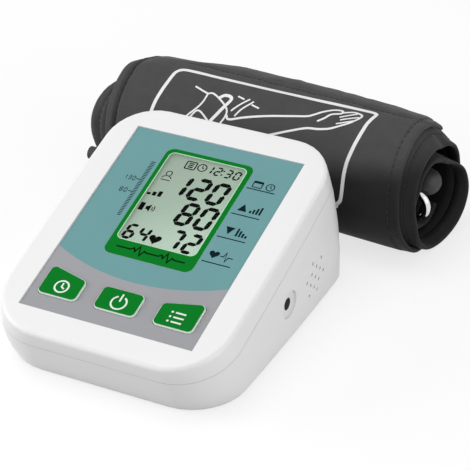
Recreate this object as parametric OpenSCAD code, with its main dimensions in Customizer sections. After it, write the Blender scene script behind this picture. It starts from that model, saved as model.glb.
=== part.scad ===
// Table-top blood pressure monitor with its arm cuff rolled up behind it.
// Millimetres. X runs to the right, Y to the rear and Z up. The origin lies on the table, below the
// middle of the monitor. "The panel" is the sloping face: u runs to the right on it, v up its slope
// from the front edge, and w stands square out of it.

/* [Housing] */
// Width of the housing at the top edge
top_w = 100; // [94:0.5:120]
// Width of the housing at the base
base_w = 101; // [94:0.5:120]
// Distance of the top edge's front from the middle
top_front = 66; // [62:0.5:72]
// Distance of the top edge's rear from the middle
top_rear = 55.4; // [54:0.2:62]
// Distance of the base's front from the middle
base_front = 58.3; // [56:0.1:64]
// Distance of the base's rear from the middle
base_rear = 58; // [56:0.5:64]
// Height of the top edge at the front
front_h = 24.8; // [23.5:0.1:30]
// Height of the top edge at the rear
rear_h = 59.7; // [56:0.1:66]
// Wall thickness of both covers
wall = 2.2; // [1.8:0.1:2.6]
// Thickness of the top cover behind the panel
skin = 2.4; // [2:0.1:2.8]
// Depth of the parting line below the panel
parting = 8; // [6:0.5:8.5]
// How far the side walls swell between base and top
side_bulge = 2; // [0:0.1:3]
// How far the front wall swells between base and top
front_bulge = 0.9; // [0:0.1:2]
// How far the long edges bow outward in plan
side_bow = 1; // [0:0.1:2]
// Corner radius of the top at the front
top_corner_front = 24; // [18:0.5:26]
// Corner radius of the top at the rear
top_corner_rear = 20; // [14:0.5:24]
// Corner radius of the base at the front
base_corner_front = 21.7; // [16:0.1:24]
// Corner radius of the base at the rear
base_corner_rear = 12; // [8:0.5:16]
// Rounding of the top edge
top_round = 1.8; // [0.8:0.1:2.2]
// Rounding of the bottom edge
base_round = 1.2; // [0.6:0.1:1.8]

/* [Panel] */
// Width of the printed film
film_w = 76.8; // [74:0.2:80]
// Front edge of the film up the slope
film_v0 = 12.3; // [11:0.1:13]
// Rear edge of the film up the slope
film_v1 = 113.6; // [112:0.1:115]
// Thickness of the film
film_t = 0.4; // [0.3:0.05:0.5]
// Depth of the film's top below the cover
film_sunk = 0.2; // [0.1:0.05:0.3]
// Width of the display window
window_w = 40.1; // [39.8:0.1:42]
// Front edge of the display window up the slope
window_v0 = 46.6; // [46:0.1:48]
// Rear edge of the display window up the slope
window_v1 = 106.4; // [106.2:0.1:108]
// Corner radius of the display window
window_corner = 3.5; // [2:0.1:5]
// Thickness of the display window
window_t = 1.2; // [1:0.05:1.4]

/* [Keys] */
// Half width of the middle key
power_half = 9.5; // [8.5:0.1:10.5]
// Front edge of the keys up the slope
key_v0 = 18.8; // [18:0.1:20]
// Rear edge of the middle key up the slope
power_v1 = 30.8; // [29:0.1:32]
// Inner edge of the outer keys
key_inner = 16.8; // [16:0.1:18]
// Outer edge of the outer keys
key_outer = 34.9; // [34:0.1:35.4]
// Rear edge of the outer keys at their inner corner
key_v_inner = 30.6; // [29:0.1:31]
// Rear edge of the outer keys at their outer corner
key_v_outer = 33.6; // [32:0.1:34]
// Corner radius of the keys
key_corner = 2.6; // [1.5:0.1:3.5]
// Height of the keys above the cover
key_rise = 0.7; // [0.4:0.1:0.9]
// Gap round each key
key_gap = 0.25; // [0.2:0.05:0.3]
// Width of the flange that keeps a key in
key_flange = 0.9; // [0.6:0.1:1.1]
// Travel of the keys
key_travel = 0.4; // [0.3:0.05:0.6]
// Radius of a switch stem
stem_r = 1.75; // [1.4:0.05:2]

/* [Board and display] */
// Depth of the board's upper face below the cover
board_w = 9; // [8.6:0.1:9.2]
// Half width of the board
board_half = 38; // [37:0.5:38.2]
// Front edge of the board up the slope
board_v0 = 14; // [13.6:0.1:16]
// Rear edge of the board up the slope
board_v1 = 112; // [110.5:0.5:112]
// Thickness of the board
board_t = 1.6; // [1.2:0.1:1.8]
// Width of the display glass
glass_w = 38.6; // [37.6:0.1:38.6]
// Front edge of the display glass
glass_v0 = 51.5; // [51:0.1:52]
// Rear edge of the display glass
glass_v1 = 105.4; // [104.4:0.1:105.4]
// Thickness of the display glass
glass_t = 2.8; // [2.2:0.1:3]

/* [Air] */
// Position of the air socket from front to rear
socket_y = -1.65; // [-4:0.05:0]
// Height of the air socket
socket_z = 20.1; // [19:0.1:21]
// Bore radius of the air socket
socket_r = 2.5; // [2:0.05:2.8]
// Radius of the socket's flange
flange_r = 5.9; // [5:0.1:6.5]
// Radius of the socket's barrel
barrel_r = 4; // [3.6:0.1:4.4]
// Outer radius of the air tubes
tube_r = 2.4; // [2:0.1:2.5]
// Outer radius of the nipples inside the air tubes
nipple_r = 1.6; // [1.4:0.05:1.7]
// Bore radius of the nipples
nipple_bore = 0.9; // [0.6:0.05:1.1]
// Radius of the pump motor
motor_r = 12; // [10:0.1:12.4]
// Length of the pump motor
motor_l = 28; // [24:0.5:28.5]
// Side of the square pump head
head_s = 24; // [20:0.2:24.6]
// Length of the pump head
head_l = 20; // [16:0.5:20.5]
// Height of the pump's axis
pump_z = 18; // [17:0.1:19]
// Position of the pump from front to rear
pump_y = 36.6; // [35.6:0.1:37]

/* [Speaker] */
// Position of the speaker from front to rear
speaker_y = 22; // [21:0.1:23]
// Height of the speaker
speaker_z = 18.8; // [18:0.1:20]
// Radius of the speaker
speaker_r = 12; // [11:0.1:12.5]
// Radius of one grille hole
grille_r = 0.75; // [0.5:0.05:0.9]
// Distance between grille holes in a row
grille_pitch = 4.4; // [3.8:0.1:4.6]
// Distance between grille rows
grille_rows = 4.1; // [3.6:0.1:4.4]
// Turn of the grille rows
grille_turn = -42; // [-60:1:60]

/* [Battery box] */
// Front wall of the battery box inside
box_y0 = -38; // [-39:0.5:-38]
// Wall thickness of the battery box
box_wall = 1.6; // [1.2:0.1:1.8]
// Radius of a battery cell
cell_r = 7.1; // [6.8:0.1:7.2]
// Length of a battery cell without its tip
cell_l = 49; // [48:0.1:49.2]
// Length of a battery cell's tip
cell_tip = 1.5; // [1:0.1:1.6]
// Thickness of the battery door
door_t = 1.8; // [1.4:0.1:1.8]
// Radius of the door's hinge pins
door_pin_r = 1.2; // [0.9:0.05:1.2]
// Length of the door's hinge pins
door_pin_l = 1.6; // [1.2:0.1:1.8]

/* [Fasteners and feet] */
// Distance of the cover screws from the middle, sideways
screw_x = 42; // [41.8:0.1:42.4]
// Distance of the cover screws from the middle, lengthways
screw_y = 44; // [43.5:0.1:44.2]
// Shank radius of the cover screws
screw_r = 1.3; // [1:0.05:1.4]
// Shank radius of the board screws
board_screw_r = 1; // [0.8:0.05:1.1]
// Radius of the rubber feet
foot_r = 5; // [4:0.1:5]
// Height of the rubber feet below the base
foot_h = 0.8; // [0.5:0.1:1.2]

/* [Cuff roll] */
// Distance of the roll's axis behind the middle
roll_y = 94.1; // [92:0.1:110]
// Turn of the roll on the table
roll_yaw = -3.375; // [-5:0.125:3]
// Radius of the roll at the middle of its outer layer
roll_r = 28.1; // [28.1:0.1:32]
// Thickness of the rolled sheet
sheet_t = 2.2; // [1.8:0.1:2.3]
// Thickness of the outer cloth
cover_t = 0.6; // [0.4:0.05:0.7]
// Thickness of the air bladder
bladder_t = 0.8; // [0.6:0.05:0.9]
// Width of the hem folded to the inner side
hem_w = 6; // [4:0.5:8]
// Radius of the padded inner end
sleeve_r = 5.8; // [5:0.1:6]
// Half length of the padded inner end
sleeve_half = 70; // [60:0.5:72]
// Wire radius of the metal ring
wire_r = 1.6; // [1.3:0.05:1.7]
// Half length of the metal ring at the middle of its wire
ring_half = 73.4; // [60:0.1:74]
// Height of the metal ring between the middles of its long bars
ring_h = 12.8; // [10:0.1:13]

/* [Hidden] */

$fn = 48;
eps = 0.01;
seat = 0.05;
slack = 0.2;
// The display glass lies in its opening in the cover, close below the window
glass_gap = 0.15;
glass_w0 = film_sunk + window_t + seat;
tilt = atan((rear_h - front_h) / (top_front + top_rear));
slope = (top_front + top_rear) / cos(tilt);

// Helpers

function mix(a, b, t) = a + (b - a) * t;
function swell(t) = 4 * t * (1 - t);
function ease(t) = let (c = min(1, max(0, t))) c * c * (3 - 2 * c);
function panel_z(y) = front_h + (y + top_front) * tan(tilt);

// Where the outer face of the right wall stands
function wall_x(y, z) =
    let (
        t = (z - foot_h) / (panel_z(y) - foot_h),
        y0 = -mix(base_front, top_front, t) - front_bulge * swell(t),
        y1 = mix(base_rear, top_rear, t),
        off = (2 * y - y0 - y1) / (y1 - y0)
    )
    mix(base_w, top_w, t) / 2 + side_bulge * swell(t) + side_bow * (1 - off * off);

function parting_z(y) = panel_z(y) - parting / cos(tilt);

// Panel coordinates of a point given by its Y and Z
function panel_v(y, z) = (y + top_front) * cos(tilt) + (z - front_h) * sin(tilt);
function panel_w(y, z) = (z - front_h) * cos(tilt) - (y + top_front) * sin(tilt);

module on_panel() {
    translate([0, -top_front, front_h]) rotate([tilt, 0, 0]) children();
}

// A block between two corners
module block(a, b) {
    translate(a) cube(b - a);
}

// A block on the panel with round upright edges
module pad(u0, u1, v0, v1, w0, w1, r) {
    translate([0, 0, w0]) linear_extrude(w1 - w0) polygon(rounded(u0, u1, v0, v1, r));
}

function rounded(x0, x1, y0, y1, r) = [
    for (q = [0:3], k = [0:6])
        let (a = q * 90 + k * 15)
        [(q == 0 || q == 3 ? x1 - r : x0 + r) + r * cos(a), (q < 2 ? y1 - r : y0 + r) + r * sin(a)]
];

// The housing as a stack of outlines, from the base (t = 0) to the panel (t = 1)

corner_steps = 8;
side_steps = 3;

function corner(cx, cy, rx, ry, from) = [
    for (k = [0:corner_steps])
        [cx + rx * cos(from + k * 90 / corner_steps), cy + ry * sin(from + k * 90 / corner_steps)]
];

function side(x, from, to) = [
    for (k = [1:side_steps]) [x, mix(from, to, k / (side_steps + 1))]
];

function plan(half, y0, y1, rf, rr, k) = concat(
    corner(half - rf, y0 + rf * k, rf, rf * k, -90),
    side(half, y0 + rf * k, y1 - rr * k),
    corner(half - rr, y1 - rr * k, rr, rr * k, 0),
    corner(rr - half, y1 - rr * k, rr, rr * k, 90),
    side(-half, y1 - rr * k, y0 + rf * k),
    corner(rf - half, y0 + rf * k, rf, rf * k, 180)
);

function outline(t, inset, lift) =
    let (
        half = mix(base_w, top_w, t) / 2 + side_bulge * swell(t) - inset,
        y0 = -mix(base_front, top_front, t) - front_bulge * swell(t) + inset,
        y1 = mix(base_rear, top_rear, t) - inset,
        rf = mix(base_corner_front, top_corner_front, t) - inset,
        rr = mix(base_corner_rear, top_corner_rear, t) - inset,
        middle = (y0 + y1) / 2,
        reach = (y1 - y0) / 2
    )
    [
        for (p = plan(half, y0, y1, rf, rr, mix(1, cos(tilt), t)))
            let (bow = side_bow * max(0, 1 - pow((p[1] - middle) / reach, 2)) * p[0] / half)
            [p[0] + bow, p[1], mix(foot_h, panel_z(p[1]), t) + lift]
    ];

function flip(points) = [for (k = [len(points) - 1:-1:0]) points[k]];

// A closed solid through outlines that all have the same number of points. The ends of a strip, whose
// outline runs out along one face and back along the other, are filled between its two faces.
module loft(rings, strip = false) {
    n = len(rings[0]);
    m = len(rings);
    first = strip
        ? [for (k = [0:n / 2 - 2]) each [[k, k + 1, n - 2 - k], [k, n - 2 - k, n - 1 - k]]]
        : [[for (k = [0:n - 1]) k]];
    last = [for (face = first) [for (k = flip(face)) k + (m - 1) * n]];
    polyhedron(
        points = [for (ring = rings) each ring],
        faces = concat(
            first,
            last,
            [
                for (i = [0:m - 2], k = [0:n - 1])
                    let (
                        a = i * n + k,
                        b = i * n + (k + 1) % n,
                        c = a + n,
                        d = b + n
                    )
                    each strip && k >= n / 2 ? [[a, c, d], [a, d, b]] : [[a, c, b], [b, c, d]]
            ]
        )
    );
}

module housing_outside() {
    turn = 1 - cos(45);
    drop = top_round / cos(tilt);
    loft([
        outline(0, base_round, 0),
        outline(0, base_round * turn, base_round * turn),
        outline(0, 0, base_round),
        outline(0.25, 0, 0),
        outline(0.5, 0, 0),
        outline(0.75, 0, 0),
        outline(1, 0, -drop),
        outline(1, top_round * turn, -drop * turn),
        outline(1, top_round, 0)
    ]);
}

module housing_inside() {
    loft([
        outline(0, wall + 0.8, wall),
        outline(0, wall, wall + 1),
        outline(0.25, wall, 0),
        outline(0.5, wall, 0),
        outline(0.75, wall, 0),
        outline(1, wall, -(skin + 1) / cos(tilt)),
        outline(1, wall + 0.8, -skin / cos(tilt))
    ]);
}

// The surface on which the lip of the top cover meets the bottom cover
module lip_outside(gap) {
    half_wall = wall / 2 - gap;
    loft([outline(0.2, half_wall, 0), outline(0.6, half_wall, 0), outline(1, half_wall, -skin)]);
}

lip_depth = 2;

module panel_slab(w0, w1) {
    on_panel() block([-top_w, -20, w0], [top_w, slope + 20, w1]);
}

// Keys

// Corners of a key as [u, v]; side is -1 for the left key, 1 for the right and 0 for the middle
function key_corners(side) =
    side == 0
        ? [[-power_half, key_v0], [power_half, key_v0], [power_half, power_v1], [-power_half, power_v1]]
        : [
            [side * key_inner, key_v0], [side * key_outer, key_v0],
            [side * key_outer, key_v_outer], [side * key_inner, key_v_inner]
        ];

function middle_of(points) = [
    (points[0][0] + points[1][0]) / 2,
    (points[0][1] + points[1][1]) / 2 + (points[2][1] + points[3][1] - points[0][1] - points[1][1]) / 4
];

// The outline of a key, grown by a margin
module key_shape(side, margin, w0, w1) {
    c = key_corners(side);
    middle = middle_of(c);
    translate([0, 0, w0]) hull() for (p = c) {
        toward = [sign(middle[0] - p[0]), sign(middle[1] - p[1])];
        translate([p[0] + toward[0] * key_corner, p[1] + toward[1] * key_corner])
            cylinder(r = key_corner + margin, h = w1 - w0, $fn = 32);
    }
}

stem_rise = 0.9;
switch_top = 5.5;
switch_s = 6;
key_base = skin + slack;

module key(side) {
    c = middle_of(key_corners(side));
    color([0.09, 0.49, 0.19]) on_panel() {
        key_shape(side, -key_gap, -key_base - 0.8, key_rise - 0.4);
        key_shape(side, -key_gap - 0.4, key_rise - 0.5, key_rise);
        key_shape(side, key_flange, -key_base - 0.9, -key_base);
        translate([c[0], c[1], -switch_top + stem_rise])
            cylinder(r = stem_r + 0.4, h = switch_top - stem_rise - key_base);
    }
}

module switch_stem(side) {
    c = middle_of(key_corners(side));
    color([0.12, 0.12, 0.12]) on_panel()
        translate([c[0], c[1], -switch_top - 1.4]) cylinder(r = stem_r, h = stem_rise + 1.4);
}

module set_button() { key(-1); }

module power_button() { key(0); }

module memory_button() { key(1); }

module set_switch_stem() { switch_stem(-1); }

module power_switch_stem() { switch_stem(0); }

module memory_switch_stem() { switch_stem(1); }

module switch_bodies() {
    color([0.75, 0.76, 0.78]) on_panel() for (side = [-1:1]) {
        c = middle_of(key_corners(side));
        difference() {
            block([c[0] - switch_s / 2, c[1] - switch_s / 2, -board_w],
                [c[0] + switch_s / 2, c[1] + switch_s / 2, -switch_top]);
            translate([c[0], c[1], -switch_top - 2.2]) cylinder(r = stem_r + 0.1, h = 3);
        }
    }
}

// Covers

sides = [-1, 1];
boss_r = 3.2;
board_screws_at = [[-13.3, 25], [13.3, 25], [-35, 108], [35, 108]];
board_boss_r = 2.4;
pilot_gap = 0.05;

module top_cover() {
    recess = film_sunk + film_t;
    color([0.94, 0.94, 0.94]) difference() {
        union() {
            difference() {
                union() {
                    intersection() {
                        housing_outside();
                        panel_slab(-parting, 5);
                    }
                    intersection() {
                        lip_outside(-0.05);
                        panel_slab(-parting - lip_depth, -parting + 0.5);
                    }
                }
                housing_inside();
            }
            for (x = sides, y = sides) {
                py = y * screw_y;
                pz = parting_z(py) - 1;
                translate([x * screw_x, py, pz]) cylinder(r = boss_r, h = panel_z(py) - 1.2 - pz);
            }
            on_panel() for (p = board_screws_at)
                translate([p[0], p[1], -board_w]) cylinder(r = board_boss_r, h = board_w - 1.5);
        }
        on_panel() {
            block([-film_w / 2, film_v0, -recess], [film_w / 2, film_v1, 5]);
            pad(-window_w / 2, window_w / 2, window_v0, window_v1,
                -film_sunk - window_t, 5, window_corner);
            block([-glass_w / 2 - glass_gap, glass_v0 - glass_gap, -5],
                [glass_w / 2 + glass_gap, glass_v1 + glass_gap, 5]);
            for (side = [-1:1]) key_shape(side, 0, -5, 5);
            for (p = board_screws_at)
                translate([p[0], p[1], -board_w - 1])
                    cylinder(r = board_screw_r + pilot_gap, h = 6);
        }
        for (x = sides, y = sides)
            translate([x * screw_x, y * screw_y, parting_z(y * screw_y) - 2])
                cylinder(r = screw_r + pilot_gap, h = 9);
    }
}

socket_depth = 1.25;
socket_flange_t = 1;
socket_face_x = wall_x(socket_y, socket_z) - socket_depth - socket_flange_t;
socket_seat_x = socket_face_x - 2.5;
grille_holes = [
    for (row = [-2:2])
        for (k = abs(row) == 2 ? [0] : abs(row) == 1 ? [-1.5, -0.5, 0.5, 1.5] : [-1, 0, 1])
            [k * grille_pitch, row * grille_rows]
];
speaker_x = wall_x(speaker_y, speaker_z) - wall - 2.4;
speaker_t = 5;
foot_places = [[-32, -49], [32, -49], [-34, 51], [34, 51]];
foot_sunk = 1;
well_r = 3.1;
boss_gap = 0.2;
head_drop = 8;
door_y = box_y0 + door_t + 0.2;
door_z = foot_h + door_t;

// The battery box inside is as large as its four cells need
cell_space = 0.8;
cell_slack = 0.6;
cell_pitch = 2 * cell_r + cell_space;
cell_z = door_z + cell_slack + cell_r;
plate_t = 0.4;
near_gap = 1.3;
far_gap = 3.2;
box_len = far_gap + cell_l + cell_tip + near_gap;
box_half = 2 * cell_pitch + 0.5;
box_y1 = box_y0 + box_len;
box_z1 = cell_z + cell_r + cell_slack;
cradle_x = [-30, -12];

module sideways(x, y, z) {
    translate([x, y, z]) rotate([0, 90, 0]) children();
}

module bottom_cover() {
    color([0.92, 0.92, 0.92]) difference() {
        union() {
            difference() {
                intersection() {
                    housing_outside();
                    panel_slab(-80, -parting - seat);
                }
                housing_inside();
            }
            battery_walls();
            for (x = sides, y = sides)
                translate([x * screw_x, y * screw_y, foot_h + 1])
                    cylinder(r = boss_r + 0.8,
                        h = parting_z(y * screw_y) - 1 - boss_gap - foot_h - 1);
            sideways(socket_seat_x, socket_y, socket_z) cylinder(r = 8, h = 3.2);
            sideways(speaker_x - 1.4, speaker_y, speaker_z) difference() {
                cylinder(r = speaker_r + 1.6, h = 4.2);
                translate([0, 0, -1]) cylinder(r = speaker_r + 0.2, h = 2.4);
                translate([0, 0, -1]) cylinder(r = speaker_r - 1.2, h = 6);
            }
            for (x = cradle_x) block([x, pump_y - 9, foot_h + 1], [x + 2, pump_y + 9, pump_z - 4]);
        }
        intersection() {
            lip_outside(-seat);
            panel_slab(-parting - lip_depth - seat, 5);
        }
        block([-box_half, box_y0, -1], [box_half, box_y1, box_z1]);
        for (x = sides) sideways(x * (box_half + door_pin_l / 2), door_y, door_z)
            cylinder(r = door_pin_r + seat, h = door_pin_l + 0.6, center = true);
        for (x = sides, y = sides) translate([x * screw_x, y * screw_y, 0]) {
            cylinder(r = well_r, h = parting_z(y * screw_y) - head_drop);
            cylinder(r = screw_r + slack, h = parting_z(y * screw_y));
        }
        for (p = foot_places) translate([p[0], p[1], -1]) cylinder(r = foot_r, h = 1 + foot_h + foot_sunk);
        sideways(socket_face_x, socket_y, socket_z) cylinder(r = flange_r + 0.1, h = 5);
        sideways(socket_seat_x - 1, socket_y, socket_z) cylinder(r = barrel_r + seat, h = 5);
        sideways(socket_seat_x - 3, socket_y, socket_z) cylinder(r = 9, h = 3);
        sideways(speaker_x - 5, speaker_y, speaker_z) rotate([0, 0, 90]) rotate([0, 0, grille_turn])
            for (p = grille_holes) translate(p) cylinder(r = grille_r, h = 12, $fn = 24);
        sideways(motor_x - 1, pump_y, pump_z) cylinder(r = motor_r + 0.1, h = motor_l);
    }
}

module battery_walls() {
    block([-box_half - box_wall, box_y0 - box_wall, foot_h + 1],
        [box_half + box_wall, box_y1 + box_wall, box_z1 + box_wall]);
    for (x = sides) block([x * (box_half + 1.6) - 1.6, box_y0 - box_wall, foot_h + 1],
        [x * (box_half + 1.6) + 1.6, box_y0 + 6, foot_h + 8]);
}

// Panel film, window and display

module front_panel() {
    edge = 0.1;
    top = -film_sunk;
    color([0.44, 0.63, 0.64]) on_panel() difference() {
        block([edge - film_w / 2, film_v0 + edge, top - film_t],
            [film_w / 2 - edge, film_v1 - edge, top]);
        pad(-window_w / 2, window_w / 2, window_v0, window_v1, -2, 1, window_corner);
        for (side = [-1:1]) key_shape(side, 0, -2, 1);
    }
}

module display_window() {
    edge = 0.05;
    color([0.12, 0.44, 0.17]) on_panel()
        pad(edge - window_w / 2, window_w / 2 - edge, window_v0 + edge, window_v1 - edge,
            -film_sunk - window_t, -film_sunk, window_corner - edge);
}

module lcd_panel() {
    ledge = 2.4;
    color([0.68, 0.75, 0.68]) on_panel() {
        block([-glass_w / 2, glass_v0, -glass_w0 - glass_t], [glass_w / 2, glass_v1, -glass_w0 - glass_t / 2]);
        block([-glass_w / 2, glass_v0 + ledge, -glass_w0 - glass_t / 2], [glass_w / 2, glass_v1, -glass_w0]);
    }
}

frame_wall = 1.6;
ledge_in = 1.4;

module lcd_frame() {
    gap = 0.1;
    low = glass_w0 + glass_t;
    color([0.9, 0.9, 0.9]) on_panel() difference() {
        block([-glass_w / 2 - frame_wall, glass_v0 - frame_wall, -board_w],
            [glass_w / 2 + frame_wall, glass_v1 + frame_wall, -skin - slack]);
        block([-glass_w / 2 - gap, glass_v0 - gap, -low], [glass_w / 2 + gap, glass_v1 + gap, 0]);
        block([-glass_w / 2 + ledge_in, glass_v0 + ledge_in, -board_w - 1],
            [glass_w / 2 - ledge_in, glass_v1 - ledge_in, 0]);
    }
}

module lcd_connectors() {
    half = glass_w / 2 - ledge_in - 0.3;
    strip_t = 2.4;
    first = glass_v0 + ledge_in + 0.1;
    last = glass_v1 - ledge_in - 0.1;
    color([0.9, 0.55, 0.65]) on_panel() {
        block([-half, first, -board_w], [half, first + strip_t, -glass_w0 - glass_t]);
        block([-half, last - strip_t, -board_w], [half, last, -glass_w0 - glass_t]);
    }
}

// Board and what it carries

module main_board() {
    color([0.1, 0.35, 0.18]) on_panel() difference() {
        pad(-board_half, board_half, board_v0, board_v1, -board_w - board_t, -board_w, 4);
        for (p = board_screws_at) translate([p[0], p[1], -board_w - 3])
            cylinder(r = board_screw_r + slack, h = 5);
    }
}

under = board_w + board_t;
plug_h = 4;
pump_wire_v = panel_v(pump_y, pump_z);
terminal_z = speaker_z + 5;
speaker_wire_v = panel_v(speaker_y, terminal_z);
battery_wire_v = 46;
battery_plug_u = 4 - box_half;
left_plug_u = 2 - board_half;
right_plug_u = board_half - 2;

module board_chips() {
    color([0.13, 0.13, 0.14]) on_panel() {
        block([-7, 62, -under - 1.4], [7, 76, -under]);
        block([-26, 54, -under - 1.2], [-18, 60, -under]);
        block([16, 56, -under - 1.2], [22, 64, -under]);
        block([-27, 80, -under - 3], [-21, 86, -under]);
        for (k = [0:3]) block([-6 + 4 * k, 84, -under - 0.8], [-4 + 4 * k, 85.2, -under]);
        for (p = [[left_plug_u, pump_wire_v], [battery_plug_u, battery_wire_v], [right_plug_u, speaker_wire_v]])
            block([p[0] - 1.8, p[1] - 3, -under - plug_h], [p[0] + 1.8, p[1] + 3, -under]);
    }
}

module board_screws() {
    head_t = 1.3;
    color([0.7, 0.7, 0.72]) on_panel() for (p = board_screws_at) translate([p[0], p[1], -under]) {
        translate([0, 0, -head_t]) difference() {
            cylinder(r = 2, h = head_t);
            cross_slot(1.2, 0.6);
        }
        cylinder(r = board_screw_r, h = 5.6);
    }
}

// A cross recess that opens downward
module cross_slot(half, depth) {
    for (a = [0, 90]) rotate([0, 0, a]) block([-half, -0.3, -1], [half, 0.3, depth]);
}

// Air system

// Straight legs with quarter bends between them: each leg is [length, turn before the bend]
module run(legs, r, bend, i = 0) {
    cylinder(r = r, h = legs[i][0], $fn = 24);
    if (i < len(legs) - 1) translate([0, 0, legs[i][0]]) rotate([0, 0, legs[i][1]]) {
        translate([bend, 0, 0]) rotate([90, 0, 0]) rotate([0, 0, 90])
            rotate_extrude(angle = 90, $fn = 48) translate([bend, 0]) circle(r = r, $fn = 24);
        translate([bend, 0, bend]) rotate([0, 90, 0]) run(legs, r, bend, i + 1);
    }
}

module air_tube(legs, bend) {
    color([0.85, 0.86, 0.84]) difference() {
        run(legs, tube_r, bend);
        run(legs, nipple_r, bend);
    }
}

nipple_l = 3.2;

module nipple() {
    cylinder(r = nipple_r, h = nipple_l);
}

motor_x = -33;
head_x = motor_x + motor_l;
head_end = head_x + head_l;
bar_y = pump_y;
bar_z = socket_z;
bar_s = 7;
bar_x0 = 23;
valve_x = 35;
sensor_x = 27;
socket_run_x = box_half + box_wall + tube_r + 0.6;
bar_x1 = max(socket_run_x, valve_x) + 4;
tube_bend = 4;
valve_z = 28;
valve_r = 5;
valve_l = 12;
sensor_w = 13.6;
sensor_s = 8;
sensor_v = (bar_y + top_front + sensor_w * sin(tilt)) / cos(tilt);
sensor_z = front_h + sensor_v * sin(tilt) - sensor_w * cos(tilt);
sensor_y = -top_front + sensor_v * cos(tilt) + sensor_w * sin(tilt);
sensor_face = sensor_x - tube_bend - 2;
barb_x = socket_face_x - 7;

module pump_motor() {
    color([0.72, 0.73, 0.75]) sideways(motor_x, pump_y, pump_z) difference() {
        union() {
            translate([0, 0, 1]) cylinder(r = motor_r, h = motor_l - 1);
            cylinder(r = motor_r - 1, h = 1.2);
            translate([0, 0, -1]) cylinder(r = 3, h = 1.5);
        }
        for (a = sides) translate([0, a * 7, -1]) cylinder(r = 1.2, h = 1.6);
    }
}

module pump_head() {
    h = head_s / 2;
    color([0.15, 0.15, 0.16]) {
        difference() {
            sideways(head_x, pump_y, pump_z) linear_extrude(head_l) polygon(rounded(-h, h, -h, h, 3));
            for (k = [1:3]) block([head_x + 4 * k, pump_y - h - 1, pump_z - h - 1],
                [head_x + 4 * k + 0.8, pump_y - h + 0.6, pump_z + h + 1]);
        }
        sideways(head_end - 1, pump_y, bar_z) difference() {
            cylinder(r = nipple_r, h = nipple_l + 1);
            translate([0, 0, -1]) cylinder(r = nipple_bore, h = nipple_l + 3);
        }
    }
}

module air_manifold() {
    h = bar_s / 2;
    top = bar_z + h;
    color([0.9, 0.9, 0.88]) difference() {
        union() {
            block([bar_x0, bar_y - h, bar_z - h], [bar_x1, bar_y + h, bar_z + h]);
            sideways(bar_x0 - nipple_l, bar_y, bar_z) cylinder(r = nipple_r, h = nipple_l + 1);
            for (x = [sensor_x, valve_x]) translate([x, bar_y, top - 1]) cylinder(r = nipple_r, h = nipple_l);
            translate([socket_run_x, bar_y - h + 1, bar_z]) rotate([90, 0, 0])
                cylinder(r = nipple_r, h = nipple_l + 1);
        }
        sideways(bar_x0 - nipple_l - 1, bar_y, bar_z)
            cylinder(r = nipple_bore, h = bar_x1 - bar_x0 + nipple_l - 1);
        for (x = [sensor_x, valve_x]) translate([x, bar_y, bar_z]) cylinder(r = nipple_bore, h = 10);
        translate([socket_run_x, bar_y, bar_z]) rotate([90, 0, 0]) cylinder(r = nipple_bore, h = 12);
    }
}

module pump_tube() {
    sideways(head_end, bar_y, bar_z) air_tube([[bar_x0 - head_end]], tube_bend);
}

module valve_tube() {
    low = bar_z + bar_s / 2;
    translate([valve_x, bar_y, low]) air_tube([[valve_z - low]], tube_bend);
}

module exhaust_valve() {
    color([0.6, 0.62, 0.6]) translate([valve_x, bar_y, valve_z]) difference() {
        union() {
            cylinder(r = valve_r, h = valve_l);
            translate([0, 0, -1]) cylinder(r = nipple_r, h = 1.5);
            for (z = [0, valve_l - 1]) translate([0, 0, z]) cylinder(r = valve_r + 0.3, h = 1);
        }
        translate([0, 0, -2]) cylinder(r = nipple_bore, h = 6);
    }
}

module pressure_sensor() {
    color([0.93, 0.93, 0.9]) {
        on_panel() block([sensor_face - sensor_s, sensor_v - sensor_s / 2, -under - 6],
            [sensor_face, sensor_v + sensor_s / 2, -under]);
        sideways(sensor_face - 1, sensor_y, sensor_z) difference() {
            cylinder(r = nipple_r, h = 3);
            translate([0, 0, -1]) cylinder(r = nipple_bore, h = 5);
        }
    }
}

module sensor_tube() {
    sideways(sensor_face, sensor_y, sensor_z)
        air_tube([[sensor_x - sensor_face - tube_bend, 0],
            [sensor_z - tube_bend - bar_z - bar_s / 2]], tube_bend);
}

module socket_tube() {
    translate([barb_x, socket_y, socket_z]) rotate([0, -90, 0])
        air_tube([[barb_x - socket_run_x - tube_bend, 90],
            [bar_y - bar_s / 2 - socket_y - tube_bend]], tube_bend);
}

module air_socket() {
    face = socket_face_x + socket_flange_t;
    color([0.86, 0.86, 0.86]) sideways(barb_x, socket_y, socket_z) difference() {
        union() {
            translate([0, 0, socket_face_x - barb_x]) cylinder(r = flange_r, h = socket_flange_t);
            cylinder(r = barrel_r, h = socket_face_x - barb_x + 0.5);
            translate([0, 0, -nipple_l + 1]) cylinder(r = nipple_r, h = nipple_l);
        }
        translate([0, 0, 1.6]) cylinder(r = socket_r, h = face);
        translate([0, 0, -nipple_l]) cylinder(r = nipple_bore, h = 10);
    }
}

module socket_ring() {
    color([0.25, 0.25, 0.26]) sideways(socket_seat_x - 1.5, socket_y, socket_z) difference() {
        cylinder(r = barrel_r + 2.6, h = 1.5);
        translate([0, 0, -1]) cylinder(r = barrel_r, h = 4);
    }
}

module speaker() {
    color([0.2, 0.2, 0.22]) sideways(speaker_x - speaker_t, speaker_y, speaker_z)
        rotate_extrude() polygon([
            [0, 0], [speaker_r * 0.55, 0], [speaker_r * 0.55, 2.4], [speaker_r, 3.6],
            [speaker_r, speaker_t], [speaker_r - 1.4, speaker_t], [speaker_r * 0.4, 3.2],
            [0, 3.9]
        ]);
}

// Wires, two side by side, with one quarter bend
wire_r2 = 0.6;
wire_bend = 1.5;

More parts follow.
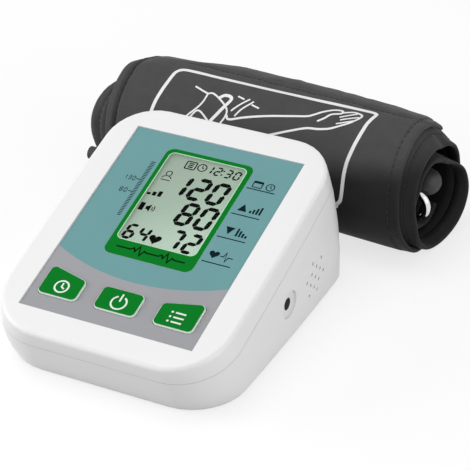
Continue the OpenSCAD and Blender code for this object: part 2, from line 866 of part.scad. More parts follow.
module wire_pair(out, up, face) {
    color([0.7, 0.1, 0.1]) for (k = sides) translate([0, k * 1.2, 0]) rotate([0, face * 90, 0])
        run([[out, face > 0 ? 180 : 0], [up]], wire_r2, wire_bend);
}

module pump_wires() {
    w = panel_w(pump_y, pump_z);
    start = motor_x - 1;
    on_panel() translate([start, pump_wire_v, w])
        wire_pair(start - left_plug_u - wire_bend, -under - plug_h - w - wire_bend, -1);
}

module speaker_wires() {
    w = panel_w(speaker_y, terminal_z);
    start = speaker_x - speaker_t;
    on_panel() translate([start, speaker_wire_v, w])
        wire_pair(start - right_plug_u - wire_bend, -under - plug_h - w - wire_bend, -1);
}

// Straight up from the ceiling of the battery box
module battery_wires() {
    color([0.7, 0.1, 0.1]) on_panel() for (k = sides) {
        v = battery_wire_v + k * 1.2;
        low = (box_z1 + box_wall - front_h - (v - wire_r2) * sin(tilt)) / cos(tilt) + eps;
        translate([battery_plug_u, v, low]) cylinder(r = wire_r2, h = -under - plug_h - low, $fn = 24);
    }
}

// Battery box

// Each battery lies the other way round than its neighbour
module per_cell() {
    for (i = [0:3]) translate([(i - 1.5) * cell_pitch, (box_y0 + box_y1) / 2, cell_z])
        rotate([0, 0, i % 2 == 0 ? 0 : 180]) translate([0, -box_len / 2, 0]) children();
}

module battery_cells() {
    color([0.2, 0.22, 0.25]) per_cell() translate([0, far_gap, 0]) rotate([-90, 0, 0]) {
        cylinder(r = cell_r, h = cell_l);
        cylinder(r = 2.7, h = cell_l + cell_tip);
    }
}

module battery_springs() {
    reach = far_gap;
    color([0.8, 0.8, 0.78]) per_cell() {
        block([-4, 0, -3], [4, plate_t, 4]);
        translate([-2.5, 0, 0]) rotate([90, 0, 90]) linear_extrude(5) polygon([
            [plate_t, -3], [reach - 0.4, -0.8], [reach, -0.4], [reach, 0.4], [reach - 0.4, 0.8],
            [plate_t, 3], [plate_t, 2.5], [reach - 0.5, 0], [plate_t, -2.5]
        ]);
    }
}

module battery_plates() {
    color([0.8, 0.8, 0.78]) per_cell() translate([0, box_len, 0]) {
        block([-4, -plate_t, -3], [4, 0, 4]);
        rotate([90, 0, 0]) cylinder(r = 2.2, h = near_gap);
    }
}

module battery_door() {
    gap = 0.3;
    half = box_half - gap;
    rear = box_y1 - gap;
    color([0.92, 0.92, 0.92]) difference() {
        union() {
            block([-half, door_y, foot_h], [half, rear, door_z]);
            sideways(-half, door_y, door_z) cylinder(r = door_t, h = 2 * half);
            block([-6, rear - 0.8, door_z - 0.2], [6, rear, door_z + 3.2]);
        }
        block([-half - 1, door_y - door_t - 1, door_z], [half + 1, door_y + 4, door_z + 3]);
        block([-5, rear - 6, foot_h - 1], [5, rear - 3.5, foot_h + 0.7]);
        for (k = [-1:1]) block([-5, rear - 12 + 2.4 * k, foot_h - 1], [5, rear - 11 + 2.4 * k, foot_h + 0.4]);
    }
    for (x = sides) color([0.92, 0.92, 0.92]) sideways(x * (half + door_pin_l / 2), door_y, door_z)
        cylinder(r = door_pin_r, h = door_pin_l, center = true);
}

// Feet and screws

module rubber_feet() {
    color([0.2, 0.2, 0.2]) for (p = foot_places) translate([p[0], p[1], 0]) rotate_extrude()
        polygon([
            [0, 0], [foot_r - 0.8, 0], [foot_r - 0.4, foot_h], [foot_r, foot_h],
            [foot_r, foot_h + foot_sunk], [0, foot_h + foot_sunk]
        ]);
}

module cover_screws() {
    color([0.7, 0.7, 0.72]) for (x = sides, y = sides) {
        seat_z = parting_z(y * screw_y) - head_drop;
        translate([x * screw_x, y * screw_y, seat_z]) {
            translate([0, 0, -2]) difference() {
                cylinder(r = 2.7, h = 2);
                cross_slot(1.6, 1);
            }
            cylinder(r = screw_r, h = head_drop + 5);
        }
    }
}

// Cuff roll. The sheet is wound inward: turn is the angle wound so far, from 58 degrees at the free
// end, measured from +Y over the top toward the front. Each row gives a turn, the radius less the
// outer radius, how far the right edge and the left edge flare, and where the two edges lie.
sheet_rows = [
    [58, -0.8, -1.6, 72, -1.6, -69],
    [85, 0, -0.8, 72.5, -1, -70],
    [120, 0, 0.3, 72, 0.4, -70.5],
    [180, 0, 0, 73, 0.4, -71],
    [270, 0, 0, 74, 0, -71],
    [330, 0, 0, 74.5, 0, -70.5],
    [360, -0.6, -0.9, 75, -0.4, -70],
    [418, -3.9, -4.6, 75.5, -2.2, -68],
    [440, -3.6, -6.8, 76.5, -1.5, -69],
    [480, -3.5, -4.6, 77, -0.4, -75],
    [525, -3, -4.5, 77, 0.4, -79.8],
    [567, -2.6, -5.2, 77, 0.4, -80],
    [607, -2.7, -1.2, 77, 0, -77.5],
    [640, -3.1, 1.1, 79, 0, -74],
    [665, -3.1, 1.8, 81, 0, -72],
    [690, -3.1, 1.4, 81, 0, -71],
    [712, -4.9, -0.5, 79.5, 0, -71],
    [728, -9.4, -1.5, 78, -1, -70],
    [748, -13.4, -2, 77.5, -2, -70],
    [790, -14.9, -2, 77, -2, -70],
    [835, -12.4, -1.6, 77, -2, -70],
    [860, -10.2, -1.6, 77, -2, -70],
    [880, -8.6, -2.8, 77, -1.5, -70],
    [930, -6.6, -3.6, 74, -1, -69],
    [980, -6, -2, 71, -1, -68],
    [1006, -6, 0, 71, 0, -68],
    [1026, -7, 0, 71, 0, -68]
];
turn_start = sheet_rows[0][0];
turn_end = sheet_rows[len(sheet_rows) - 1][0];
flare_w = 9;
sheet_step = 14;

function row_at(turn) =
    let (below = [for (i = [0:len(sheet_rows) - 2]) if (sheet_rows[i][0] <= turn) i])
    below[len(below) - 1];

// A smooth curve through one column of the rows
function glide(turn, column) =
    let (
        last = len(sheet_rows) - 1,
        i = row_at(turn),
        a = sheet_rows[max(0, i - 1)],
        b = sheet_rows[i],
        c = sheet_rows[i + 1],
        d = sheet_rows[min(last, i + 2)],
        span = c[0] - b[0],
        t = (turn - b[0]) / span,
        rise_b = (c[column] - a[column]) / (c[0] - a[0]) * span,
        rise_c = (d[column] - b[column]) / (d[0] - b[0]) * span
    )
    b[column] * (1 - 3 * t * t + 2 * t * t * t) + c[column] * (3 * t * t - 2 * t * t * t)
        + rise_b * (t - 2 * t * t + t * t * t) + rise_c * (t * t * t - t * t);

function right_edge(turn) = glide(turn, 3);
function left_edge(turn) = glide(turn, 5);
function sheet_r(turn, s) = roll_r + glide(turn, 1)
    + glide(turn, 2) * ease((s - right_edge(turn) + flare_w) / flare_w)
    + glide(turn, 4) * ease((left_edge(turn) + flare_w - s) / flare_w);

// A point of the sheet, depth below its middle surface
function sheet_point(turn, s, depth) =
    let (r = sheet_r(turn, s) - depth) [s, r * cos(turn), r * sin(turn)];

module on_roll() {
    translate([0, roll_y, roll_r + sheet_t / 2]) rotate([0, 0, roll_yaw]) children();
}

// Stations across the sheet where it is flat between its two flares
function stations(turn, inset) =
    let (a = left_edge(turn), b = right_edge(turn))
    [a + inset, a + flare_w, b - flare_w, b - inset];

function turns(from, to) =
    let (n = ceil((to - from) / sheet_step)) [for (k = [0:n]) mix(from, to, k / n)];

half_t = sheet_t / 2;
cover_in = cover_t - half_t;
fit_gap = 0.04;

// The outline at one turn: along the inner face to the right, and back along the outer face
function strip_ring(outer_face, inner_face) = concat(inner_face, flip(outer_face));

// Outer cloth with both long edges turned over to the inner side as hems
module cuff_cover() {
    color([0.28, 0.28, 0.29]) on_roll() loft([
        for (turn = turns(turn_start, turn_end))
            let (
                a = left_edge(turn),
                b = right_edge(turn),
                s = stations(turn, hem_w),
                across = concat([a, a + hem_w / 2], s, [b - hem_w / 2, b])
            )
            strip_ring(
                [for (x = across) sheet_point(turn, x, -half_t)],
                concat(
                    [sheet_point(turn, a, half_t), sheet_point(turn, s[0], half_t)],
                    [for (x = s) sheet_point(turn, x, cover_in)],
                    [sheet_point(turn, s[3], half_t), sheet_point(turn, b, half_t)]
                )
            )
    ], true);
}

// The turns of the whole sheet that lie between two turns
function turns_between(from, to) = [
    for (turn = turns(turn_start, turn_end)) if (turn >= from && turn <= to) turn
];

bladder_from = turn_start + 60;
bladder_to = turn_end - 300;
bladder_inset = flare_w + 4;
sink = bladder_t + 2 * fit_gap;

module cuff_lining() {
    top = cover_in + fit_gap;
    color([0.2, 0.2, 0.21]) on_roll() loft([
        for (turn = turns(turn_start, turn_end))
            let (
                s = stations(turn, hem_w + fit_gap),
                across = [s[0], s[1], s[1] + 3, s[2] - 3, s[2], s[3]],
                deep = turn > bladder_from - sheet_step && turn < bladder_to + sheet_step ? sink : 0
            )
            strip_ring(
                [for (k = [0:5]) sheet_point(turn, across[k], top + (k < 2 || k > 3 ? 0 : deep))],
                [for (x = across) sheet_point(turn, x, half_t)]
            )
    ], true);
}

module cuff_bladder() {
    top = cover_in + 2 * fit_gap;
    color([0.15, 0.15, 0.16]) on_roll() loft([
        for (turn = turns_between(bladder_from, bladder_to))
            let (across = [left_edge(turn) + bladder_inset, right_edge(turn) - bladder_inset])
            strip_ring(
                [for (x = across) sheet_point(turn, x, top)],
                [for (x = across) sheet_point(turn, x, top + bladder_t - fit_gap)]
            )
    ], true);
}

// Hook patch, sewn to the inner side near the free end
patch_t = 0.7;
patch_half = 55;

module hook_patch() {
    across = [-patch_half, patch_half];
    color([0.24, 0.24, 0.25]) on_roll() loft([
        for (turn = turns_between(turn_start + 24, turn_start + 70))
            strip_ring(
                [for (x = across) sheet_point(turn, x, half_t + fit_gap)],
                [for (x = across) sheet_point(turn, x, half_t + patch_t)]
            )
    ], true);
}

// Padded inner end and the metal ring that hangs at its front
sleeve_y = 6;
sleeve_z = -2.7;
ring_y = sleeve_y - sleeve_r - wire_r - 0.3;
ring_z = sleeve_z - 1.4;
loop_half = 56;
loop_gap = 0.12;
loop_t = 0.8;

module ring_sleeve() {
    tail = sheet_r(turn_end, 0);
    color([0.3, 0.3, 0.31]) on_roll() difference() {
        union() {
            sideways(-sleeve_half, sleeve_y, sleeve_z) cylinder(r = sleeve_r, h = 2 * sleeve_half);
            for (x = sides) translate([x * sleeve_half, sleeve_y, sleeve_z]) sphere(r = sleeve_r);
            sideways(-loop_half, ring_y, ring_z)
                cylinder(r = wire_r + loop_gap + loop_t, h = 2 * loop_half);
            translate([-sleeve_half + 6, 0, 0]) rotate([90, 0, 90]) linear_extrude(2 * sleeve_half - 12)
                polygon([
                    [sleeve_y + 2, sleeve_z - 2], [sleeve_y + sleeve_r - 0.4, sleeve_z],
                    [tail * cos(turn_end) + 0.9, tail * sin(turn_end) + 1.4],
                    [tail * cos(turn_end) - 1.2, tail * sin(turn_end) + 1.4]
                ]);
        }
        sideways(-loop_half - 1, ring_y, ring_z) cylinder(r = wire_r + loop_gap, h = 2 * loop_half + 2);
        for (x = sides) block([x * (sleeve_half + loop_half) / 2 - (sleeve_half - loop_half) / 2 - 5,
            ring_y - 6, ring_z - 6], [x * (sleeve_half + loop_half) / 2 + (sleeve_half - loop_half) / 2 + 5,
            ring_y + wire_r + 0.25, ring_z + 6]);
    }
}

module d_ring() {
    bend = ring_h / 2;
    straight = ring_half - bend;
    color([0.8, 0.78, 0.78]) on_roll() translate([0, ring_y, ring_z]) {
        for (z = [0, -ring_h]) sideways(-straight, 0, z) cylinder(r = wire_r, h = 2 * straight);
        for (x = sides) translate([x * straight, 0, -bend]) rotate([90, 0, 0])
            rotate([0, 0, x > 0 ? -90 : 90]) rotate_extrude(angle = 180)
                translate([bend, 0]) circle(r = wire_r);
    }
}

outlet_turn = 586;
outlet_r = 4;
outlet_l = 8.5;

module hose_outlet() {
    s = left_edge(outlet_turn) - 0.5;
    r = sheet_r(outlet_turn, s);
    color([0.2, 0.2, 0.2]) on_roll()
        translate([s, r * cos(outlet_turn), r * sin(outlet_turn)]) rotate([0, -90, 0]) difference() {
            union() {
                cylinder(r = outlet_r, h = 0.6 * outlet_l, $fn = 32);
                cylinder(r = outlet_r - 1, h = outlet_l, $fn = 32);
                cylinder(r = outlet_r + 0.4, h = 1.2);
            }
            translate([0, 0, 2]) cylinder(r = 2, h = outlet_l);
        }
}

top_cover();
bottom_cover();
front_panel();
display_window();
lcd_panel();
lcd_frame();
lcd_connectors();
main_board();
board_chips();
switch_bodies();
set_button();
power_button();
memory_button();
set_switch_stem();
power_switch_stem();
memory_switch_stem();
pressure_sensor();
pump_motor();
pump_head();
exhaust_valve();
air_manifold();
pump_tube();
valve_tube();
sensor_tube();
socket_tube();
air_socket();
socket_ring();
speaker();
battery_door();
battery_cells();
battery_springs();
battery_plates();
rubber_feet();
cover_screws();
board_screws();
pump_wires();
speaker_wires();
battery_wires();
cuff_cover();
cuff_lining();
cuff_bladder();
hook_patch();
ring_sleeve();
d_ring();
hose_outlet();
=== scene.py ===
# %% [markdown]
# # A blood pressure monitor with its rolled arm cuff
# The monitor is a white moulded case with a printed panel, three keys and a small display. Its
# arm cuff lies behind it, rolled up. The case, the keys and everything inside come from the
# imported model, so this file dresses them. The cuff is cloth, and is made here.

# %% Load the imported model
import math

import bmesh
import bpy
import numpy as np
from mathutils import Matrix, Vector, geometry, noise


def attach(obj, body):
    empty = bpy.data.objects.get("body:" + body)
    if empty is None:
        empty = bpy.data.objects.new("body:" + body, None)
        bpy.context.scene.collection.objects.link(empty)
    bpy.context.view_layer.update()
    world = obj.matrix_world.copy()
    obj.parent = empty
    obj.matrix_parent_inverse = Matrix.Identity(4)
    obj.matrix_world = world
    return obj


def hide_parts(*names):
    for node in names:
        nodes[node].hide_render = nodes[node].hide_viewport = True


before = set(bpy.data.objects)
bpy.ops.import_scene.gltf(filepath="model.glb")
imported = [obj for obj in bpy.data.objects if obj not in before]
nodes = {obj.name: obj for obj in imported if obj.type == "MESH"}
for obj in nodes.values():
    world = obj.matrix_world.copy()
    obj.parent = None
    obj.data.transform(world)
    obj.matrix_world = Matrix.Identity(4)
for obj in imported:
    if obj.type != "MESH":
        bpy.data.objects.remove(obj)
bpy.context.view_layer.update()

MM = 0.001

# %% [markdown]
# ## The camera
# A long lens from the front right, above the table. A long lens keeps the two long edges of the
# panel nearly parallel, as in a catalogue picture. The camera could be aimed with a constraint,
# but its axes are known, so they are written as the columns of its matrix.

# %% Place the camera
camera_data = bpy.data.cameras.new("studio_camera")
camera_data.sensor_width = 36.0
camera_data.lens = 158.86
camera = bpy.data.objects.new("studio_camera", camera_data)
bpy.context.scene.collection.objects.link(camera)
right = Vector((0.88525026, 0.46341644, -0.03971373))
up = Vector((-0.22200891, 0.49603501, 0.83944107))
back = Vector((0.40871019, -0.73429863, 0.5419977))
camera.matrix_world = Matrix.Translation((0.361459, -0.597212, 0.486227)) @ Matrix(
    (right, up, back)).transposed().to_4x4()
bpy.context.scene.camera = camera
bpy.context.scene.view_settings.view_transform = "Standard"
print("camera at", [round(x, 3) for x in camera.location])

# %% [markdown]
# ## Floor, sky and lamps
# The picture has a white ground with hardly any shadow. More light would wash out the white case,
# so the ground is made white only for the camera, for mirror rays and for light that came through
# glass. The lamps stay plain: a soft sky, one broad lamp overhead and one on each side.

# %% Helpers that add shader nodes
def add(tree, kind, inputs=(), **settings):
    node = tree.nodes.new(kind)
    for name, value in settings.items():
        setattr(node, name, value)
    for name, value in dict(inputs).items():
        if isinstance(value, bpy.types.NodeSocket):
            tree.links.new(value, node.inputs[name])
        else:
            node.inputs[name].default_value = value
    return node


def maths(tree, operation, a, b=0.0):
    return add(tree, "ShaderNodeMath", {0: a, 1: b}, operation=operation).outputs[0]


def seen_directly(tree):
    path = add(tree, "ShaderNodeLightPath").outputs
    first = maths(tree, "MAXIMUM", path["Is Camera Ray"], path["Is Glossy Ray"])
    return maths(tree, "MAXIMUM", first, path["Is Transmission Ray"])


# %% The sky
world = bpy.data.worlds.new("studio_sky")
bpy.context.scene.world = world
world.use_nodes = True
sky = world.node_tree
sky.nodes.clear()
soft_light = add(sky, "ShaderNodeBackground", {"Color": (1, 1, 1, 1), "Strength": 0.44})
white_ground = add(sky, "ShaderNodeBackground", {"Color": (1, 1, 1, 1), "Strength": 1.0})
sky_mix = add(sky, "ShaderNodeMixShader", {0: seen_directly(sky), 1: soft_light.outputs[0],
                                           2: white_ground.outputs[0]})
add(sky, "ShaderNodeOutputWorld", {"Surface": sky_mix.outputs[0]})

# %% The floor
floor_finish = bpy.data.materials.new("studio_floor")
floor_finish.use_nodes = True
tree = floor_finish.node_tree
tree.nodes.clear()
paper = add(tree, "ShaderNodeBsdfDiffuse", {"Color": (0.55, 0.55, 0.55, 1)})
shade = add(tree, "ShaderNodeBsdfDiffuse", {"Color": (0.3, 0.3, 0.3, 1)})
glow = add(tree, "ShaderNodeEmission", {"Color": (1, 1, 1, 1), "Strength": 0.72})
white = add(tree, "ShaderNodeAddShader", {0: shade.outputs[0], 1: glow.outputs[0]})
floor_mix = add(tree, "ShaderNodeMixShader", {0: seen_directly(tree), 1: paper.outputs[0],
                                              2: white.outputs[0]})
add(tree, "ShaderNodeOutputMaterial", {"Surface": floor_mix.outputs[0]})

floor_mesh = bpy.data.meshes.new("studio_floor")
floor_mesh.from_pydata([(-4, -4, 0), (4, -4, 0), (4, 4, 0), (-4, 4, 0)], [], [(0, 1, 2, 3)])
floor_mesh.materials.append(floor_finish)
floor = bpy.data.objects.new("studio_floor", floor_mesh)
bpy.context.scene.collection.objects.link(floor)

# %% The lamps
LAMP_SIZE = 0.8
AIM = Vector((0, 0.03, 0.02))


def lamp(name, place, watts):
    data = bpy.data.lights.new(name, "AREA")
    data.shape, data.size, data.energy = "DISK", LAMP_SIZE, watts
    holder = bpy.data.objects.new(name, data)
    holder.location = place
    holder.rotation_mode = "QUATERNION"
    holder.rotation_quaternion = (AIM - Vector(place)).to_track_quat("-Z", "Y")
    bpy.context.scene.collection.objects.link(holder)
    print("lamp", name, watts, "W")


lamp("overhead_softbox", (-0.3, -0.1, 1.3), 5.1)
lamp("right_fill", (1.3, -0.35, 0.5), 6.2)
lamp("left_fill", (-1.2, -0.5, 0.4), 8.9)

# %% [markdown]
# ## Finishes
# Moulded plastic, rubber and metal each get one material from the same recipe: a colour that
# drifts a little over the surface, and a fine bump at the scale of the real grain. Noise in
# object coordinates needs no unwrapping, so it also suits the parts that come from CAD.

# %% The recipe
def srgb(r, g, b):
    def one(c):
        c = c / 255
        return c / 12.92 if c <= 0.04045 else ((c + 0.055) / 1.055) ** 2.4
    return (one(r), one(g), one(b), 1.0)


def shade_of(colour, factor):
    return tuple(min(1.0, c * factor) for c in colour[:3]) + (1.0,)


def new_material(name):
    """A material, its empty node tree, and the place on the object that its patterns follow."""
    material = bpy.data.materials.new(name)
    material.use_nodes = True
    tree = material.node_tree
    tree.nodes.clear()
    return material, tree, add(tree, "ShaderNodeTexCoord").outputs["Object"]


def speckle(tree, place, scale, detail=2.0):
    return add(tree, "ShaderNodeTexNoise",
               {"Vector": place, "Scale": scale, "Detail": detail}).outputs[0]


def surfaced(tree, height, strength, relief, shader):
    """Ends a material: one surface whose bump is relief metres high."""
    surface = add(tree, "ShaderNodeBsdfPrincipled", shader)
    bump = add(tree, "ShaderNodeBump", {"Height": height, "Strength": strength,
                                        "Distance": relief})
    tree.links.new(bump.outputs[0], surface.inputs["Normal"])
    add(tree, "ShaderNodeOutputMaterial", {"Surface": surface.outputs[0]})


def blend(tree, share, a, b):
    mixed = add(tree, "ShaderNodeMix", data_type="RGBA")
    for socket, value in (("Factor", share), ("A", a), ("B", b)):
        tree.links.new(value, mixed.inputs[socket])
    return mixed.outputs["Result"]


def drift(tree, place, colour, scale, amount):
    """A colour that wanders slowly between two tones of itself."""
    ramp = add(tree, "ShaderNodeValToRGB", {"Fac": speckle(tree, place, scale, 4.0)})
    dark, light = ramp.color_ramp.elements
    dark.position, light.position = 0.3, 0.7
    dark.color, light.color = shade_of(colour, 1 - amount), shade_of(colour, 1 + amount)
    return ramp.outputs[0]


def finish(name, colour, rough, tone=0.02, patch=60, grain=2200, relief=0.00002, strength=0.25,
           **shader):
    """grain is how many bumps there are in a metre, and relief is their height."""
    material, tree, place = new_material(name)
    sockets = {socket.replace("_", " "): value for socket, value in shader.items()}
    surfaced(tree, speckle(tree, place, grain), strength, relief,
             {"Base Color": drift(tree, place, colour, patch, tone), "Roughness": rough, **sockets})
    return material


# %% [markdown]
# ## The case
# The case is white ABS with a fine spark texture. It comes from CAD, where its rounded corners
# are small flats. They don't need to be built again: welding the mesh and splitting it only at
# real edges lets the shading run smoothly over the corners and stay crisp at the recess of the
# panel.

# %% Smooth shading for parts from CAD
def smooth(node, angle=32):
    part = nodes[node]
    mesh = part.data
    if "custom_normal" in mesh.attributes:
        mesh.attributes.remove(mesh.attributes["custom_normal"])
    mesh.polygons.foreach_set("use_smooth", [True] * len(mesh.polygons))
    weld = part.modifiers.new("weld", "WELD")
    weld.merge_threshold = 1e-6
    split = part.modifiers.new("real_edges", "EDGE_SPLIT")
    split.split_angle = math.radians(angle)
    part.modifiers.new("even_shading", "WEIGHTED_NORMAL").keep_sharp = True


def dress(material, *names, angle=32):
    for name in names:
        mesh = nodes[name].data
        mesh.materials.clear()
        mesh.materials.append(material)
        smooth(name, angle)


case_white = finish("case_white", srgb(240, 240, 240), 0.42, tone=0.006, grain=2600,
                    relief=0.00003, strength=0.18)
dress(case_white, "top_cover", "bottom_cover", "battery_door", angle=52)
print("case dressed")

# %% Inside the case and below it
plain = {
    "frame_white": (srgb(225, 226, 224), 0.5, ["lcd_frame", "air_manifold"]),
    "moulded_black": (srgb(42, 42, 45), 0.45, ["pump_head", "socket_ring", "speaker"]),
    "switch_grey": (srgb(120, 122, 126), 0.45, ["switch_bodies"]),
    "stem_black": (srgb(28, 28, 30), 0.4,
                   ["set_switch_stem", "power_switch_stem", "memory_switch_stem"]),
    "valve_grey": (srgb(150, 154, 152), 0.4, ["exhaust_valve"]),
    "chip_black": (srgb(30, 31, 33), 0.5, ["board_chips", "pressure_sensor"]),
    "contact_rubber": (srgb(226, 150, 168), 0.7, ["lcd_connectors"]),
    "foot_rubber": (srgb(48, 48, 50), 0.85, ["rubber_feet"]),
    "silicone_tube": (srgb(214, 216, 210), 0.35,
                      ["pump_tube", "valve_tube", "sensor_tube", "socket_tube"]),
    "wire_jacket": (srgb(176, 34, 34), 0.45, ["pump_wires", "speaker_wires", "battery_wires"]),
    "outlet_rubber": (srgb(40, 40, 42), 0.6, ["hose_outlet"]),
}
for name, (colour, rough, wearers) in plain.items():
    dress(finish(name, colour, rough, tone=0.04, patch=180, relief=0.00004), *wearers)
socket_white = finish("socket_white", srgb(232, 232, 232), 0.38, tone=0.02)
dress(socket_white, "air_socket")
bladder_rubber = finish("bladder_rubber", srgb(36, 36, 38), 0.6, tone=0.04, patch=180)
metals = {
    "motor_steel": (srgb(186, 188, 192), 0.32, ["pump_motor"]),
    "screw_steel": (srgb(176, 178, 182), 0.28, ["cover_screws", "board_screws"]),
    "contact_nickel": (srgb(206, 206, 200), 0.25, ["battery_springs", "battery_plates"]),
    "ring_chrome": (srgb(226, 222, 224), 0.1, ["d_ring"]),
}
for name, (colour, rough, wearers) in metals.items():
    dress(finish(name, colour, rough, tone=0.05, patch=400, grain=900, relief=0.00001,
                 Metallic=1.0), *wearers)
print("finishes:", len(plain) + len(metals) + 3)

# %% [markdown]
# ## Circuit board and battery cells
# Both are seen only when the case is open or the battery door hangs down. The board's green
# lacquer shows faint copper tracks, and each cell has a coloured end on a dark jacket. Tracks and
# jackets are patterns in the material, because cutting them as mesh would add nothing to their
# shape.

# %% The lacquered board
def board_lacquer():
    material, tree, place = new_material("board_lacquer")
    tracks = add(tree, "ShaderNodeTexBrick", {
        "Vector": place, "Color1": srgb(22, 92, 50), "Color2": srgb(18, 84, 44),
        "Mortar": srgb(64, 132, 76), "Scale": 110.0, "Mortar Size": 0.03})
    surfaced(tree, tracks.outputs[1], 0.3, 0.00004,
             {"Base Color": tracks.outputs[0], "Roughness": 0.3})
    return material


dress(board_lacquer(), "main_board")

# %% The jackets of the cells, which point forward and back by turns
CELL_PITCH, CELLS_MIDDLE, CELL_HALF = 0.015, -0.0105, 0.025


def cell_jacket():
    material, tree, place = new_material("cell_jacket")
    parts = add(tree, "ShaderNodeSeparateXYZ", {"Vector": place}).outputs
    lane = maths(tree, "DIVIDE", parts[0], CELL_PITCH)
    flip = maths(tree, "GREATER_THAN", maths(tree, "FLOORED_MODULO", lane, 2.0), 1.0)
    along = maths(tree, "ADD", parts[1], -CELLS_MIDDLE)
    side = add(tree, "ShaderNodeMix", {0: flip, 2: maths(tree, "MULTIPLY", along, -1.0), 3: along})
    share = add(tree, "ShaderNodeMapRange", {"Value": side.outputs[0], "From Min": -CELL_HALF,
                                             "From Max": CELL_HALF})
    band = add(tree, "ShaderNodeValToRGB", {"Fac": share.outputs[0]})
    band.color_ramp.interpolation = "CONSTANT"
    jacket, end = band.color_ramp.elements
    end.position = 0.72
    jacket.color, end.color = srgb(30, 32, 36), srgb(178, 120, 60)
    surfaced(tree, speckle(tree, place, 300.0), 0.15, 0.00003,
             {"Base Color": band.outputs[0], "Roughness": 0.3, "Metallic": 0.35})
    return material


dress(cell_jacket(), "battery_cells")

# %% [markdown]
# ## The printed panel
# One matt film carries two colours that meet in a wide arc above the keys. The arc is a circle,
# so the material measures the distance from its centre and changes colour there: no picture is
# needed and the edge is sharp at any size.

# %% Panel coordinates in millimetres: u to the right, v up the slope, w out of the panel
FILM, ON_FILM = -0.2, -0.17
FRONT_Y, FRONT_Z, BACK_Y, BACK_Z = -66, 24.8, 55.4, 59.7
TILT = math.atan((BACK_Z - FRONT_Z) / (BACK_Y - FRONT_Y))
PANEL_FRONT = Vector((0, FRONT_Y, FRONT_Z))
ALONG_V = Vector((0, math.cos(TILT), math.sin(TILT)))
ALONG_W = Vector((0, -math.sin(TILT), math.cos(TILT)))


def on_panel(u, v, w):
    return (PANEL_FRONT + Vector((u, 0, 0)) + ALONG_V * v + ALONG_W * w) * MM


print("panel slope", round(math.degrees(TILT), 2), "degrees")

# %% Painted shade in the gap between the covers, which runs level with the panel
GAP_BELOW_PANEL = 8


def paint_shade(material, distance, near, far, shade):
    """Painted shade: darkens a material where a distance is below near, and less and less up to
    far, in metres.
    """
    tree = material.node_tree
    surface = next(n for n in tree.nodes if n.type == "BSDF_PRINCIPLED")
    colour = surface.inputs["Base Color"].links[0].from_socket
    share = add(tree, "ShaderNodeMapRange", {"Value": distance, "From Min": near, "From Max": far,
                                             "To Min": shade, "To Max": 1.0})
    darker = add(tree, "ShaderNodeVectorMath", {0: colour, "Scale": share.outputs[0]},
                 operation="SCALE")
    tree.links.new(darker.outputs[0], surface.inputs["Base Color"])


def measured(tree, operation, place, other):
    return add(tree, "ShaderNodeVectorMath", {0: place, 1: other},
               operation=operation).outputs["Value"]


tree = case_white.node_tree
place = add(tree, "ShaderNodeTexCoord").outputs["Object"]
above = maths(tree, "SUBTRACT", measured(tree, "DOT_PRODUCT", place, ALONG_W),
              (PANEL_FRONT.dot(ALONG_W) - GAP_BELOW_PANEL) * MM)
# painted shade: the case colour is darker along the gap between the covers
paint_shade(case_white, maths(tree, "ABSOLUTE", above), near=0.00012, far=0.00024, shade=0.72)

# %% Painted shade in the hollow of the air socket, measured from the socket's axis
SOCKET_AXIS = (0, -0.00165, 0.0201)
tree = socket_white.node_tree
place = add(tree, "ShaderNodeTexCoord").outputs["Object"]
across = add(tree, "ShaderNodeVectorMath", {0: place, 1: (0, 1, 1)}, operation="MULTIPLY")
away = measured(tree, "DISTANCE", across.outputs[0], SOCKET_AXIS)
# painted shade: the white socket is made almost black inside its bore
paint_shade(socket_white, away, near=0.00256, far=0.0027, shade=0.12)


# %% The two-coloured film
def panel_film(blue, grey, centre_v, radius):
    material, tree, place = new_material("panel_film")
    beyond = add(tree, "ShaderNodeMapRange", {
        "Value": measured(tree, "DISTANCE", place, on_panel(0, centre_v, FILM)),
        "From Min": (radius - 0.08) * MM, "From Max": (radius + 0.08) * MM})
    colour = blend(tree, beyond.outputs[0], drift(tree, place, blue, 50, 0.02),
                   drift(tree, place, grey, 50, 0.015))
    surfaced(tree, speckle(tree, place, 3000.0), 0.12, 0.00002,
             {"Base Color": colour, "Roughness": 0.5, "Specular IOR Level": 0.12})
    return material


film = panel_film(srgb(110, 158, 161), srgb(162, 162, 166), centre_v=125.6, radius=90)
dress(film, "front_panel")

# %% [markdown]
# ## Printing on flat faces
# Marks on the panel, the keys and the display are ink, all but a grey band round the film, which is
# painted shade: far thinner than anything else here. They are flat strips and patches laid a few
# hundredths of a millimetre above the face that carries them. A strip follows a line at an even
# width, with its corners mitred.

# %% Shapes of ink, each a list of points and faces in panel coordinates
def left_of(along):
    return Vector((-along.y, along.x))


def strip(points, width, closed=False):
    line = [Vector(p) for p in points]
    count = len(line)
    left, right_side = [], []
    for i, here in enumerate(line):
        before = line[(i - 1) % count] if closed or i else None
        after = line[(i + 1) % count] if closed or i < count - 1 else None
        into = (here - before).normalized() if before else (after - here).normalized()
        out = (after - here).normalized() if after else into
        across = left_of(into + out).normalized()
        reach = width / 2 / max(0.45, across.dot(left_of(out)))
        left.append(here + across * reach)
        right_side.append(here - across * reach)
    steps = count if closed else count - 1
    faces = [(count + i, count + (i + 1) % count, (i + 1) % count, i) for i in range(steps)]
    return [tuple(p) for p in left + right_side], faces


def patch(points):
    return [tuple(p) for p in points], [tuple(range(len(points)))]


def arc(centre, radius, start, end, steps=28):
    angles = [math.radians(start + (end - start) * k / steps) for k in range(steps + 1)]
    return [(centre[0] + radius * math.cos(q), centre[1] + radius * math.sin(q)) for q in angles]


def disc(centre, radius, steps=28):
    return patch(arc(centre, radius, 0, 360, steps)[:-1])


def hoop(centre, radius, width):
    return strip(arc(centre, radius, 0, 360)[:-1], width, closed=True)


def bar(u0, v0, u1, v1):
    return patch([(u0, v0), (u1, v0), (u1, v1), (u0, v1)])


